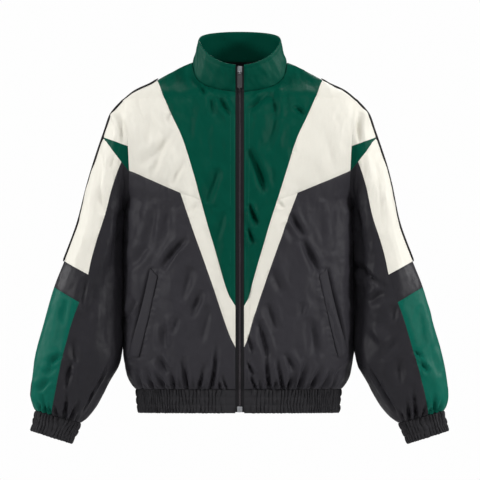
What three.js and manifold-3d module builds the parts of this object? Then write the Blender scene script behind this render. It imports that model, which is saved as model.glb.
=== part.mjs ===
// A zipped track jacket with colour-blocked panels, filled out as if worn, with nothing inside it.
//
// Millimetres. +X is the viewer's right, -Y the front and +Z up. The origin lies on the centre line at
// the height of the side neck, where a wearer's shoulders carry the jacket. Each cut and sewn piece is
// one wall with its own name. "left" and "right" are the wearer's, so the left half has positive X.

import * as THREE from 'three';
import { mergeVertices } from 'three/addons/utils/BufferGeometryUtils.js';
import Module from 'manifold-3d';

const wasm = await Module();
wasm.setup();

// Colours and finishes

const CLOTH_ROUGHNESS = 0.55;
const cloth = (color) => ({ color, roughness: CLOTH_ROUGHNESS, metalness: 0 });
const FINISH = {
  green: cloth(0x10553f),
  forearm: cloth(0x166e54),
  cream: cloth(0xece9de),
  charcoal: cloth(0x37363a),
  elastic: { color: 0x2f2e32, roughness: 0.8, metalness: 0 },
  tape: { color: 0x17161a, roughness: 0.7, metalness: 0 },
  metal: { color: 0xb9bbc0, roughness: 0.3, metalness: 0.9 },
  enamel: { color: 0x121215, roughness: 0.35, metalness: 0.2 },
};

// Cloth and seams

const SEAM_GAP = 0.3;
const BODY_WALL = 1.8;
const COLLAR_WALL = 2.6;
const BAND_WALL = 2.4;
const SEAM_SNAP = 2.5;
const SETTLED_SNAP = 0.8;

// Body: half widths, depths and the exponent of its rounded level sections

const SECTION_POWER = 2.3;
const HEM_SEAM_Z = -645.4;
const BODY_TOP_Z = 10;
const ZIP_EDGE_X = 7.5;

const SHOULDER_LINE = [
  { z: 10, x: 84 },
  { z: 3, x: 94.5 },
  { z: 0, x: 110.5 },
  { z: -12, x: 135.5 },
  { z: -24, x: 158 },
  { z: -36, x: 180.5 },
  { z: -48, x: 208 },
  { z: -60, x: 230 },
  { z: -64, x: 236 },
];

const BODY_SIDE = [
  { z: -288, x: 227 },
  { z: -368, x: 231.5 },
  { z: -468, x: 233.5 },
  { z: -568, x: 230.5 },
  { z: -600, x: 227 },
  { z: -624, x: 222 },
  { z: -636, x: 216 },
  { z: -646, x: 208.5 },
];

const BODY_DEPTH = [
  { z: 10, front: 2, back: 60.5 },
  { z: 3, front: 6, back: 69 },
  { z: 0, front: 9, back: 71 },
  { z: -12, front: 21, back: 77 },
  { z: -24, front: 35, back: 82 },
  { z: -36, front: 52, back: 87 },
  { z: -52, front: 78, back: 92.5 },
  { z: -64, front: 88, back: 96 },
  { z: -100, front: 102, back: 104 },
  { z: -160, front: 115, back: 110 },
  { z: -220, front: 122, back: 111 },
  { z: -288, front: 123, back: 108 },
  { z: -368, front: 122, back: 105 },
  { z: -468, front: 122, back: 106 },
  { z: -568, front: 122, back: 108 },
  { z: -600, front: 119.5, back: 106 },
  { z: -624, front: 115, back: 102 },
  { z: -636, front: 110, back: 98 },
  { z: -646, front: 105, back: 93 },
];

// Armhole: a nearly upright loop from the shoulder tip to the underarm

const ARMHOLE = { topZ: -64, bottomZ: -288, halfDepth: 62, power: 2.2, samples: 10 };
const ARMHOLE_LINE = [
  { z: -64, x: 236 },
  { z: -72, x: 233.5 },
  { z: -100, x: 229 },
  { z: -160, x: 223.5 },
  { z: -210, x: 221.5 },
  { z: -250, x: 222.5 },
  { z: -288, x: 227 },
];

// Sleeve: one row for each ring, from the armhole to the cuff seam. ox, oz is its outer point and
// ix, iz its inner point in the front view, depth its half depth and y its middle.

const SLEEVE_RINGS = [
  { ox: 236.6, oz: -64, ix: 227.6, iz: -288, depth: 62, y: 0 },
  { ox: 245.5, oz: -72.5, ix: 227.8, iz: -289.5, depth: 62.5, y: 0 },
  { ox: 259, oz: -96, ix: 228.1, iz: -292, depth: 63.5, y: 0 },
  { ox: 274, oz: -132, ix: 228.6, iz: -297, depth: 65, y: 0 },
  { ox: 290, oz: -180, ix: 229.3, iz: -305, depth: 66, y: -1 },
  { ox: 309, oz: -240, ix: 231, iz: -322, depth: 67, y: -3 },
  { ox: 330, oz: -312, ix: 233.3, iz: -352, depth: 68, y: -6 },
  { ox: 352, oz: -384, ix: 236.2, iz: -414, depth: 68, y: -9 },
  { ox: 372, oz: -444, ix: 237, iz: -474, depth: 68, y: -12 },
  { ox: 392.5, oz: -516, ix: 236.3, iz: -548, depth: 68, y: -15 },
  { ox: 405.5, oz: -564, ix: 242.5, iz: -596, depth: 67, y: -17 },
  { ox: 413.5, oz: -612, ix: 262.5, iz: -636, depth: 64, y: -19 },
  { ox: 417.5, oz: -660, ix: 287, iz: -682, depth: 54, y: -20 },
  { ox: 413, oz: -681, ix: 305, iz: -704, depth: 43, y: -20 },
  { ox: 407.9, oz: -688.6, ix: 317.3, iz: -713.2, depth: 35, y: -20 },
];
const SLEEVE_POWER = 2.2;
const ARMHOLE_FADE_RINGS = 4;

const CUFF = {
  top: { ox: 407.6, oz: -689.4, ix: 317.8, iz: -714, depth: 34, y: -20 },
  bottom: { ox: 418.3, oz: -728.8, ix: 335.5, iz: -755.2, depth: 31, y: -20 },
  ribs: 24,
};

const HEM = {
  topZ: -646,
  bottomZ: -693,
  top: { half: 207.5, front: 104.5, back: 92.5 },
  bottom: { half: 203.5, front: 103, back: 91 },
  ribs: 96,
  tab: 14,
  girth: 1080,
};

const RIB_RISE = 0.9;
const STITCH_ROWS = [0, 1 / 3, 2 / 3, 1];

// Gathers: waves in the cloth above the hem band and the cuffs

const BODY_GATHERS = { waves: 10, rise: 2.6, reach: 95, columns: 40 };
const SLEEVE_GATHERS = { waves: 7, rise: 2.2, rings: 2.2, columns: 28 };

// Collar: plan half axes of its seam and of its rim, and the rim's heights

const COLLAR = {
  seam: { half: 94.5, front: 78, back: 62, y: 0 },
  rim: { half: 82, front: 72, back: 62, y: -14 },
  sideZ: 50,
  frontDrop: 49.4,
  backRise: 19,
  frontPower: 1.3,
  backPower: 0.6,
  columns: 40,
  rows: 3,
};

// Seams of the front panels, in the front view

const CHEST_SEAM = [
  { z: -18, x: 176 },
  { z: -30, x: 164.5 },
  { z: -60, x: 152.5 },
  { z: -96, x: 137 },
  { z: -144, x: 114.5 },
  { z: -216, x: 92 },
  { z: -288, x: 72.5 },
  { z: -384, x: 44.5 },
  { z: -456, x: 22.5 },
  { z: -478, x: 9.5 },
  { z: -520, x: -16 },
];
const CHEVRON_SEAM = [
  { z: -200, x: 138 },
  { z: -254, x: 118.5 },
  { z: -324, x: 94.5 },
  { z: -444, x: 52.5 },
  { z: -504, x: 32.5 },
  { z: -540, x: 19.5 },
  { z: -560, x: 9.5 },
  { z: -600, x: -10 },
];
const SIDE_SEAM_POINT = { x: 221.5, z: -210 };
const CHEVRON_POINT = { x: 118.5, z: -254 };
const STRIP_POINT = { x: 80, z: -268 };

// Seams of the sleeve panels, in the front view

const INSERT_OUTER = { x: 276.5, z: -141.2 };
const INSERT_TOP = { x: 223.9, z: -160.2 };
const INSERT_BOTTOM = { x: 221.5, z: -210 };
const STRIPE_END = [{ x: 350.5, z: -391 }, { x: 302.5, z: -417 }];
const FOREARM_START = [{ x: 368.5, z: -444 }, { x: 320.5, z: -472 }];
const SLEEVE_DIVIDE = [
  { z: -170, x: 224 },
  { z: -190.8, x: 235.5 },
  { z: -240, x: 253.5 },
  { z: -300, x: 269.5 },
  { z: -348, x: 285.5 },
  { z: -384, x: 295.5 },
  { z: -417, x: 302.5 },
  { z: -472, x: 320.5 },
  { z: -552, x: 345.5 },
  { z: -624, x: 363.5 },
  { z: -672, x: 377.5 },
  { z: -720, x: 392 },
];

// Pocket welts and piping

const POCKET = {
  outerTop: { x: 177.5, z: -406 },
  outerBottom: { x: 214.5, z: -580 },
  innerTop: { x: 164.5, z: -420 },
  innerBottom: { x: 199.5, z: -580 },
  rise: 0.7,
  wall: 1.2,
  rows: 10,
};
const PIPING = { startZ: -31, endZ: -392, halfWidth: 1.7, clear: 0.4, height: 3.1 };

// Zip

const ZIP = {
  tapeInner: 2.2,
  tapeWall: 1.3,
  tapeSink: 0.4,
  coilHalf: 1.9,
  coilProud: 0.7,
  coilWall: 2.4,
  topZ: -0.6,
  bottomZ: -691.5,
};
const RETAINER = { width: 10.2, height: 11.6, depth: 3.2, slot: 2, slotDepth: 1.2, clear: 0.9 };
const SLIDER = { width: 8.8, height: 15.5, depth: 2.2, topZ: -1.6, clear: 0.35 };
const BAIL = { inner: 1.6, outer: 3, halfWidth: 0.9, standOff: 1.9, segments: 12 };
const PULL = { axisZ: -14, width: 9.2, length: 30.4, depth: 1.6, eyeWidth: 4.6, eyeTop: 0.8, eyeBottom: 4, corner: 0.8 };

// Curves through short tables

/** Returns a smooth function through a table's rows that never swings past them. */
function through(table, at, column) {
  const rows = [...table].sort((a, b) => a[at] - b[at]);
  const last = rows.length - 1;
  const slope = rows.map((row, i) => {
    if (i === 0 || i === last) return 0;
    const before = (row[column] - rows[i - 1][column]) / (row[at] - rows[i - 1][at]);
    const after = (rows[i + 1][column] - row[column]) / (rows[i + 1][at] - row[at]);
    return before * after > 0 ? (2 * before * after) / (before + after) : 0;
  });
  slope[0] = (rows[1][column] - rows[0][column]) / (rows[1][at] - rows[0][at]);
  slope[last] = (rows[last][column] - rows[last - 1][column]) / (rows[last][at] - rows[last - 1][at]);
  return (value) => {
    if (value <= rows[0][at]) return rows[0][column] + slope[0] * (value - rows[0][at]);
    if (value >= rows[last][at]) return rows[last][column] + slope[last] * (value - rows[last][at]);
    const i = rows.findIndex((row) => row[at] > value) - 1;
    const span = rows[i + 1][at] - rows[i][at];
    const s = (value - rows[i][at]) / span;
    const ease = s * s * (3 - 2 * s);
    const leave = s * (1 - s) * (1 - s) * span * slope[i];
    const arrive = s * s * (s - 1) * span * slope[i + 1];
    return THREE.MathUtils.lerp(rows[i][column], rows[i + 1][column], ease) + leave + arrive;
  };
}

const signedPower = (value, power) => Math.sign(value) * Math.abs(value) ** power;

const shoulderX = through(SHOULDER_LINE, 'z', 'x');
const sideX = through(BODY_SIDE, 'z', 'x');
const frontDepth = through(BODY_DEPTH, 'z', 'front');
const backDepth = through(BODY_DEPTH, 'z', 'back');
const armholeX = through(ARMHOLE_LINE, 'z', 'x');
const chestSeamX = through(CHEST_SEAM, 'z', 'x');
const chevronSeamX = through(CHEVRON_SEAM, 'z', 'x');
const sleeveDivideX = through(SLEEVE_DIVIDE, 'z', 'x');

const ARMHOLE_MIDDLE_Z = (ARMHOLE.topZ + ARMHOLE.bottomZ) / 2;
const ARMHOLE_HALF = (ARMHOLE.topZ - ARMHOLE.bottomZ) / 2;

/** Height and half depth of the armhole loop at a turn from its top, 0, to its bottom, 1. */
function armholeAt(turn) {
  const angle = Math.PI * turn;
  return {
    z: ARMHOLE_MIDDLE_Z + ARMHOLE_HALF * signedPower(Math.cos(angle), 2 / ARMHOLE.power),
    depth: ARMHOLE.halfDepth * Math.sin(angle) ** (2 / ARMHOLE.power),
  };
}

function armholeDepth(z) {
  const share = Math.min(1, Math.abs(z - ARMHOLE_MIDDLE_Z) / ARMHOLE_HALF);
  return ARMHOLE.halfDepth * (1 - share ** ARMHOLE.power) ** (1 / ARMHOLE.power);
}

// Surfaces

/** Half width of a level section of the body, and the angle at which its half ends. */
function bodySection(depth, z) {
  if (z > ARMHOLE.topZ) return { half: shoulderX(z), end: Math.PI / 2 };
  if (z < ARMHOLE.bottomZ) return { half: sideX(z), end: Math.PI / 2 };
  const x = armholeX(z);
  const share = (armholeDepth(z) / depth) ** SECTION_POWER;
  const half = x / (1 - share) ** (1 / SECTION_POWER);
  return { half, end: Math.asin(Math.min(1, (x / half) ** (SECTION_POWER / 2))) };
}

/** The body's left half: u runs from the centre to the side, v is the height. face is -1 in front, 1 behind. */
function bodyPoint(face, u, z) {
  const depth = face < 0 ? frontDepth(z) : backDepth(z);
  const { half, end } = bodySection(depth, z);
  const start = face < 0 ? Math.asin((ZIP_EDGE_X / half) ** (SECTION_POWER / 2)) : 0;
  const angle = start + (end - start) * u;
  const power = 2 / SECTION_POWER;
  return new THREE.Vector3(half * Math.sin(angle) ** power, face * depth * Math.max(0, Math.cos(angle)) ** power, z);
}

/** A body point found from its place in the front view. */
function frontPointAt(x, z) {
  const depth = frontDepth(z);
  const { half } = bodySection(depth, z);
  return new THREE.Vector3(x, -depth * (1 - (x / half) ** SECTION_POWER) ** (1 / SECTION_POWER), z);
}

/** The rise of the gathers above the hem band. */
function bodyGather(u, z) {
  const height = (z - HEM_SEAM_Z) / BODY_GATHERS.reach;
  if (height > 1) return 0;
  return BODY_GATHERS.rise * (1 - height) ** 2 * Math.sin(2 * Math.PI * BODY_GATHERS.waves * u);
}

const ring = Object.fromEntries(
  Object.keys(SLEEVE_RINGS[0]).map((column) => [
    column,
    through(SLEEVE_RINGS.map((row, index) => ({ ...row, index })), 'index', column),
  ]),
);

/** The left sleeve: u turns from its outer edge to its inner edge, v counts the rings of its table. */
function sleevePoint(face, u, v) {
  const angle = Math.PI * u;
  const along = signedPower(Math.cos(angle), 2 / SLEEVE_POWER);
  const across = Math.sin(angle) ** (2 / SLEEVE_POWER);
  const mix = (along + 1) / 2;
  const top = SLEEVE_RINGS[0];
  const straightX = THREE.MathUtils.lerp(top.ix, top.ox, mix);
  const bend = armholeX(armholeAt(u).z) + 0.6 - straightX;
  const fade = Math.max(0, 1 - v / ARMHOLE_FADE_RINGS) ** 2;
  return new THREE.Vector3(
    THREE.MathUtils.lerp(ring.ix(v), ring.ox(v), mix) + bend * fade,
    ring.y(v) + face * ring.depth(v) * across,
    THREE.MathUtils.lerp(ring.iz(v), ring.oz(v), mix),
  );
}

/** The rise of the gathers above a cuff. */
function sleeveGather(u, v) {
  const height = (SLEEVE_RINGS.length - 1 - v) / SLEEVE_GATHERS.rings;
  if (height > 1) return 0;
  return SLEEVE_GATHERS.rise * (1 - height) * Math.sin(2 * Math.PI * SLEEVE_GATHERS.waves * u);
}

/** The height of the body's surface above a plan point near the neck. */
function bodyHeightAt(x, y) {
  let low = ARMHOLE.topZ;
  let high = BODY_TOP_Z;
  const depthAt = y < 0 ? frontDepth : backDepth;
  for (let step = 0; step < 40; step++) {
    const z = (low + high) / 2;
    const reach = (x / shoulderX(z)) ** SECTION_POWER + (Math.abs(y) / depthAt(z)) ** SECTION_POWER;
    if (reach > 1) high = z;
    else low = z;
  }
  return (low + high) / 2;
}

const planPoint = (ellipse, angle) => ({
  x: ellipse.half * Math.sin(angle),
  y: ellipse.y - (Math.cos(angle) > 0 ? ellipse.front : ellipse.back) * Math.cos(angle),
});

/** The collar: u runs round from the zip on the left to the zip on the right, v from the seam to the rim. */
function collarPoint(u, v) {
  const angleFor = (half) => {
    const start = Math.asin(ZIP_EDGE_X / half);
    return start + (2 * Math.PI - 2 * start) * u;
  };
  const seam = planPoint(COLLAR.seam, angleFor(COLLAR.seam.half));
  const rimAngle = angleFor(COLLAR.rim.half);
  const rim = planPoint(COLLAR.rim, rimAngle);
  const facing = Math.cos(rimAngle);
  const rimZ =
    facing > 0
      ? COLLAR.sideZ - COLLAR.frontDrop * facing ** COLLAR.frontPower
      : COLLAR.sideZ + COLLAR.backRise * (-facing) ** COLLAR.backPower;
  const seamZ = bodyHeightAt(Math.abs(seam.x), seam.y) + 2 * SEAM_GAP;
  return new THREE.Vector3(
    THREE.MathUtils.lerp(seam.x, rim.x, v),
    THREE.MathUtils.lerp(seam.y, rim.y, v),
    THREE.MathUtils.lerp(seamZ, rimZ, v),
  );
}

// Sheets: triangles over a surface, cut along seams and given a wall

/** A sheet of triangles between rows, each { v, columns }. */
function sheetOf(surface, lift, rows) {
  const params = [];
  const triangles = [];
  const starts = rows.map(({ v, columns }) => {
    const start = params.length;
    for (let i = 0; i <= columns; i++) params.push([i / columns, v]);
    return start;
  });
  for (let k = 1; k < rows.length; k++) {
    let a = 0;
    let b = 0;
    const [lower, upper] = [rows[k - 1].columns, rows[k].columns];
    while (a < lower || b < upper) {
      const first = starts[k - 1] + a;
      const second = starts[k] + b;
      if (b === upper || (a < lower && (a + 1) * upper <= (b + 1) * lower)) {
        triangles.push([first, first + 1, second]);
        a += 1;
      } else {
        triangles.push([first, second + 1, second]);
        b += 1;
      }
    }
  }
  return { surface, lift, params, triangles, settled: new Set() };
}

/** Moves a sheet's point along u or v until side is zero there. */
function slideOnto(sheet, index, side, axis) {
  const step = 1e-3;
  const param = sheet.params[index];
  const valueAt = (p) => side(sheet.surface(...p));
  for (let round = 0; round < 4; round++) {
    const ahead = [...param];
    ahead[axis] += step;
    const here = valueAt(param);
    param[axis] -= (here * step) / (valueAt(ahead) - here);
  }
}

const middleOf = (sheet, triangle) =>
  sheet.surface(...[0, 1].map((axis) => triangle.reduce((sum, i) => sum + sheet.params[i][axis], 0) / 3));

/**
 * Splits the triangles that where picks along the line where side is zero. Points near the line slide
 * onto it along one of the sheet's axes, unless they already lie on a seam.
 */
function cutAlong(sheet, side, axis, where = () => true) {
  const picked = sheet.triangles.filter((triangle) => where(middleOf(sheet, triangle)));
  const others = sheet.triangles.filter((triangle) => !where(middleOf(sheet, triangle)));
  const value = new Map([...new Set(picked.flat())].map((i) => [i, side(sheet.surface(...sheet.params[i]))]));
  for (const [i, distance] of value) {
    const onEdge = axis === 0 && (sheet.params[i][0] === 0 || sheet.params[i][0] === 1);
    const settled = onEdge || sheet.settled.has(i);
    if (Math.abs(distance) > (settled ? SETTLED_SNAP : SEAM_SNAP)) continue;
    if (!settled) slideOnto(sheet, i, side, axis);
    sheet.settled.add(i);
    value.set(i, 0);
  }
  const made = new Map();
  const crossing = (i, j) => {
    const key = `${Math.min(i, j)}_${Math.max(i, j)}`;
    if (made.has(key)) return made.get(key);
    const between = (s) => sheet.params[i].map((p, k) => THREE.MathUtils.lerp(p, sheet.params[j][k], s));
    let [low, high] = [0, 1];
    for (let step = 0; step < 24; step++) {
      const middle = (low + high) / 2;
      if (side(sheet.surface(...between(middle))) * value.get(i) > 0) low = middle;
      else high = middle;
    }
    const index = sheet.params.push(between((low + high) / 2)) - 1;
    sheet.settled.add(index);
    made.set(key, index);
    return index;
  };
  const split = picked.flatMap((triangle) => {
    const parts = [[], []];
    triangle.forEach((i, k) => {
      const j = triangle[(k + 1) % 3];
      if (value.get(i) >= 0) parts[0].push(i);
      if (value.get(i) <= 0) parts[1].push(i);
      if (value.get(i) * value.get(j) < 0) parts.forEach((part) => part.push(crossing(i, j)));
    });
    return parts.flatMap((part) => part.slice(2).map((c, k) => [part[0], part[k + 1], c]));
  });
  sheet.triangles = [...others, ...split];
}

/** The outward normal of a surface whose inside holds the point that core gives. */
function normalAt(surface, u, v, core) {
  const step = 2e-3;
  const point = surface(u, v);
  const back = u > 0.5 ? -1 : 1;
  const alongU = surface(u + back * step, v).sub(point).multiplyScalar(back);
  const alongV = surface(u, v + step).sub(surface(u, v - step));
  const normal = alongU.cross(alongV).normalize();
  return normal.dot(point.sub(core(u, v))) < 0 ? normal.negate() : normal;
}

/** Turns some of a sheet's triangles into a closed wall, its edges drawn in by half a seam gap. */
function wallOf(sheet, triangles, wall, core) {
  const used = [...new Set(triangles.flat())];
  const place = new Map(used.map((i, k) => [i, k]));
  const normals = used.map((i) => normalAt(sheet.surface, ...sheet.params[i], core));
  const outer = used.map((i, k) =>
    sheet.surface(...sheet.params[i]).addScaledVector(normals[k], sheet.lift(...sheet.params[i])),
  );
  const faces = triangles.map((triangle) => {
    const [a, b, c] = triangle.map((i) => place.get(i));
    const facing = outer[b].clone().sub(outer[a]).cross(outer[c].clone().sub(outer[a]));
    return facing.dot(normals[a].clone().add(normals[b]).add(normals[c])) < 0 ? [a, c, b] : [a, b, c];
  });
  const edges = boundaryOf(faces);
  const inward = new Map();
  for (const [a, b] of edges) {
    const along = outer[b].clone().sub(outer[a]).normalize();
    for (const i of [a, b]) {
      const turn = normals[i].clone().cross(along);
      inward.set(i, [...(inward.get(i) ?? []), turn]);
    }
  }
  const moved = outer.map((point, i) => {
    const [first, second] = inward.get(i) ?? [];
    if (!first) return point;
    const miter = first.clone().add(second ?? first);
    const spread = Math.max(0.35, 1 + first.dot(second ?? first));
    return point.clone().addScaledVector(miter, SEAM_GAP / 2 / spread);
  });
  const inner = moved.map((point, i) => point.clone().addScaledVector(normals[i], -wall));
  const count = used.length;
  const index = [
    ...faces.flat(),
    ...faces.flatMap(([a, b, c]) => [a + count, c + count, b + count]),
    ...edges.flatMap(([a, b]) => [a, a + count, b, b, a + count, b + count]),
  ];
  return geometryFrom([...moved, ...inner], index);
}

/** The directed edges that only one face has. */
function boundaryOf(faces) {
  const seen = new Set(faces.flatMap(([a, b, c]) => [`${a}_${b}`, `${b}_${c}`, `${c}_${a}`]));
  return faces.flatMap(([a, b, c]) => [[a, b], [b, c], [c, a]]).filter(([a, b]) => !seen.has(`${b}_${a}`));
}

function geometryFrom(points, index) {
  const geometry = new THREE.BufferGeometry().setFromPoints(points);
  geometry.setIndex(index);
  geometry.computeVertexNormals();
  return geometry;
}

/** Turns the left piece into the right one. */
function mirrored(geometry) {
  const twin = geometry.clone().scale(-1, 1, 1);
  const index = twin.getIndex();
  for (let i = 0; i < index.count; i += 3) {
    const second = index.getX(i + 1);
    index.setX(i + 1, index.getX(i + 2));
    index.setX(i + 2, second);
  }
  twin.computeVertexNormals();
  return twin;
}

/** Builds each named panel of a sheet from the triangles whose middle nameAt gives that name. */
function panelsOf(sheet, nameAt, wall, core) {
  const groups = new Map();
  for (const triangle of sheet.triangles) {
    const name = nameAt(middleOf(sheet, triangle));
    if (name) groups.set(name, [...(groups.get(name) ?? []), triangle]);
  }
  return new Map([...groups].map(([name, triangles]) => [name, wallOf(sheet, triangles, wall, core)]));
}

/** Signed distance of a front-view point from the line through two others, positive above it. */
function aboveLine(from, to) {
  const length = Math.hypot(to.x - from.x, to.z - from.z);
  const sign = to.x > from.x ? 1 : -1;
  return (point) => (sign * ((to.x - from.x) * (point.z - from.z) - (to.z - from.z) * (point.x - from.x))) / length;
}

// Body panels

const ARMHOLE_LEVELS = Array.from({ length: ARMHOLE.samples + 1 }, (_, i) => armholeAt(1 - i / ARMHOLE.samples).z);
const HEM_LEVELS = [HEM_SEAM_Z, -622, -582];
const SIDE_LEVELS = [-530, -480, -425, -370, -325];
const SHOULDER_LEVELS = [-58, -51, -44, -36, -28, -19, -10, -1, 4.5, BODY_TOP_Z];
const BODY_COLUMNS = 10;

function bodyRows(sides) {
  const gathered = HEM_LEVELS.map((v) => ({ v, columns: BODY_GATHERS.columns * sides }));
  const plain = [...SIDE_LEVELS, ...ARMHOLE_LEVELS, ...SHOULDER_LEVELS];
  return [...gathered, ...plain.map((v) => ({ v, columns: BODY_COLUMNS * sides }))];
}

const bodyCore = (u, z) => new THREE.Vector3(0, 0, z - 60);

/** Positive inside the neck hole, in millimetres or nearly so. */
function inNeck(point) {
  const depth = point.y < 0 ? COLLAR.seam.front : COLLAR.seam.back;
  return (1 - Math.hypot(point.x / COLLAR.seam.half, point.y / depth)) * depth;
}

function frontPanels() {
  const sheet = sheetOf((u, v) => bodyPoint(-1, u, v), bodyGather, bodyRows(1));
  const chest = (point) => point.x - chestSeamX(point.z);
  const chevron = (point) => point.x - chevronSeamX(point.z);
  const underChest = aboveLine(CHEVRON_POINT, SIDE_SEAM_POINT);
  const strip = aboveLine(STRIP_POINT, CHEVRON_POINT);
  const chestEdge = (point) => Math.min(underChest(point), strip(point));
  cutAlong(sheet, inNeck, 1);
  cutAlong(sheet, chest, 1);
  cutAlong(sheet, chestEdge, 1, (point) => chest(point) > 0);
  cutAlong(sheet, chevron, 1, (point) => chest(point) > 0 && chestEdge(point) < 0);
  const nameAt = (point) => {
    if (inNeck(point) > 0) return null;
    if (chest(point) < 0) return 'front_green';
    if (chestEdge(point) > 0) return 'front_chest';
    return chevron(point) < 0 ? 'front_chevron' : 'front_lower';
  };
  return panelsOf(sheet, nameAt, BODY_WALL, bodyCore);
}

function backPanel() {
  const surface = (u, v) => {
    const point = bodyPoint(1, Math.abs(2 * u - 1), v);
    return u < 0.5 ? point.setX(-point.x) : point;
  };
  const sheet = sheetOf(surface, (u, v) => bodyGather(2 * u, v), bodyRows(2));
  cutAlong(sheet, inNeck, 1);
  return panelsOf(sheet, (point) => (inNeck(point) > 0 ? null : 'back'), BODY_WALL, bodyCore).get('back');
}

// Sleeve panels

const SLEEVE_COLUMNS = ARMHOLE.samples;

function sleeveRows() {
  const last = SLEEVE_RINGS.length - 1;
  return SLEEVE_RINGS.map((_, v) => ({
    v,
    columns: v > last - SLEEVE_GATHERS.rings ? SLEEVE_GATHERS.columns : SLEEVE_COLUMNS,
  }));
}

const sleeveCore = (u, v) =>
  new THREE.Vector3((ring.ox(v) + ring.ix(v)) / 2, ring.y(v), (ring.oz(v) + ring.iz(v)) / 2);

function sleeveFrontPanels() {
  const sheet = sheetOf((u, v) => sleevePoint(-1, u, v), sleeveGather, sleeveRows());
  const capEdge = aboveLine(INSERT_OUTER, INSERT_TOP);
  const insertEdge = aboveLine(INSERT_OUTER, INSERT_BOTTOM);
  const stripeEnd = aboveLine(...STRIPE_END);
  const forearmStart = aboveLine(...FOREARM_START);
  const outside = (point) => point.x - sleeveDivideX(point.z);
  const below = (point) => insertEdge(point) < 0;
  cutAlong(sheet, capEdge, 1);
  cutAlong(sheet, insertEdge, 1, (point) => capEdge(point) < 0);
  cutAlong(sheet, stripeEnd, 1, below);
  cutAlong(sheet, forearmStart, 1, below);
  cutAlong(sheet, outside, 0, below);
  const nameAt = (point) => {
    if (capEdge(point) > 0) return 'sleeve_cap';
    if (insertEdge(point) > 0) return 'sleeve_insert';
    if (outside(point) < 0) return 'sleeve_front';
    if (stripeEnd(point) > 0) return 'sleeve_stripe';
    return forearmStart(point) > 0 ? 'sleeve_front' : 'sleeve_forearm';
  };
  return panelsOf(sheet, nameAt, BODY_WALL, sleeveCore);
}

function sleeveBackPanel() {
  const sheet = sheetOf((u, v) => sleevePoint(1, u, v), sleeveGather, sleeveRows());
  return wallOf(sheet, sheet.triangles, BODY_WALL, sleeveCore);
}

// Collar

function collar() {
  const rows = Array.from({ length: COLLAR.rows + 1 }, (_, i) => ({ v: i / COLLAR.rows, columns: COLLAR.columns }));
  const sheet = sheetOf(collarPoint, () => 0, rows);
  return wallOf(sheet, sheet.triangles, COLLAR_WALL, (u, v) => new THREE.Vector3(0, -8, 60 * v - 20));
}

// Ribbed bands

/** A band from rows of outer points and rows of inner points, each row running the same way round. */
function bandFrom(outerRows, innerRows, closed) {
  const points = [];
  const index = [];
  const addRow = (row) => {
    points.push(...row);
    return { start: points.length - row.length, count: row.length - 1 };
  };
  const zip = (lower, upper) => {
    let a = 0;
    let b = 0;
    while (a < lower.count || b < upper.count) {
      const first = lower.start + a;
      const second = upper.start + b;
      if (b === upper.count || (a < lower.count && (a + 1) * upper.count <= (b + 1) * lower.count)) {
        index.push(first, first + 1, second);
        a += 1;
      } else {
        index.push(first, second + 1, second);
        b += 1;
      }
    }
  };
  const rows = [...outerRows, ...innerRows.toReversed()].map(addRow);
  rows.forEach((row, i) => zip(row, rows[(i + 1) % rows.length]));
  if (!closed) {
    const cap = (place) => rows.map((row) => row.start + place(row));
    const first = cap(() => 0);
    const second = cap((row) => row.count);
    for (let i = 2; i < rows.length; i++) {
      index.push(first[0], first[i - 1], first[i]);
      index.push(second[0], second[i], second[i - 1]);
    }
  }
  return mergeVertices(geometryFrom(points, index).deleteAttribute('normal'), 1e-4);
}

/** Rows of points round a ribbed band: surface(u, v) with its outer points raised on every other column. */
function ribbedBand(surface, outwards, ribs, plainColumns, closed, plainEnds) {
  const columns = 2 * ribs;
  const outerRows = STITCH_ROWS.map((v) =>
    Array.from({ length: columns + 1 }, (_, i) => {
      const u = i / columns;
      const plain = u < plainEnds || u > 1 - plainEnds;
      const rise = i % 2 && !plain ? RIB_RISE : 0;
      return surface(u, v).addScaledVector(outwards(u, v), rise);
    }),
  );
  const innerRows = [0, 1].map((v) =>
    Array.from({ length: plainColumns + 1 }, (_, i) => {
      const u = i / plainColumns;
      return surface(u, v).addScaledVector(outwards(u, v), -BAND_WALL);
    }),
  );
  return bandFrom(outerRows, innerRows, closed);
}

function levelOutwards(surface) {
  return (u, v) => {
    const step = 1e-3;
    const along = surface(Math.min(1, u + step), v).sub(surface(Math.max(0, u - step), v));
    return new THREE.Vector3(along.y, -along.x, 0).normalize();
  };
}

function hemBand() {
  const surface = (u, v) => {
    const mix = (column) => THREE.MathUtils.lerp(HEM.bottom[column], HEM.top[column], v);
    const half = mix('half');
    const start = Math.asin(((ZIP_EDGE_X + SEAM_GAP / 2) / half) ** (SECTION_POWER / 2));
    const angle = start + (2 * Math.PI - 2 * start) * u;
    const facing = Math.cos(angle);
    const depth = facing > 0 ? mix('front') : mix('back');
    const power = 2 / SECTION_POWER;
    return new THREE.Vector3(
      half * signedPower(Math.sin(angle), power),
      -depth * signedPower(facing, power),
      THREE.MathUtils.lerp(HEM.bottomZ, HEM.topZ, v),
    );
  };
  const plainEnds = HEM.tab / HEM.girth;
  return ribbedBand(surface, levelOutwards(surface), HEM.ribs, HEM.ribs / 2, false, plainEnds);
}

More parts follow.
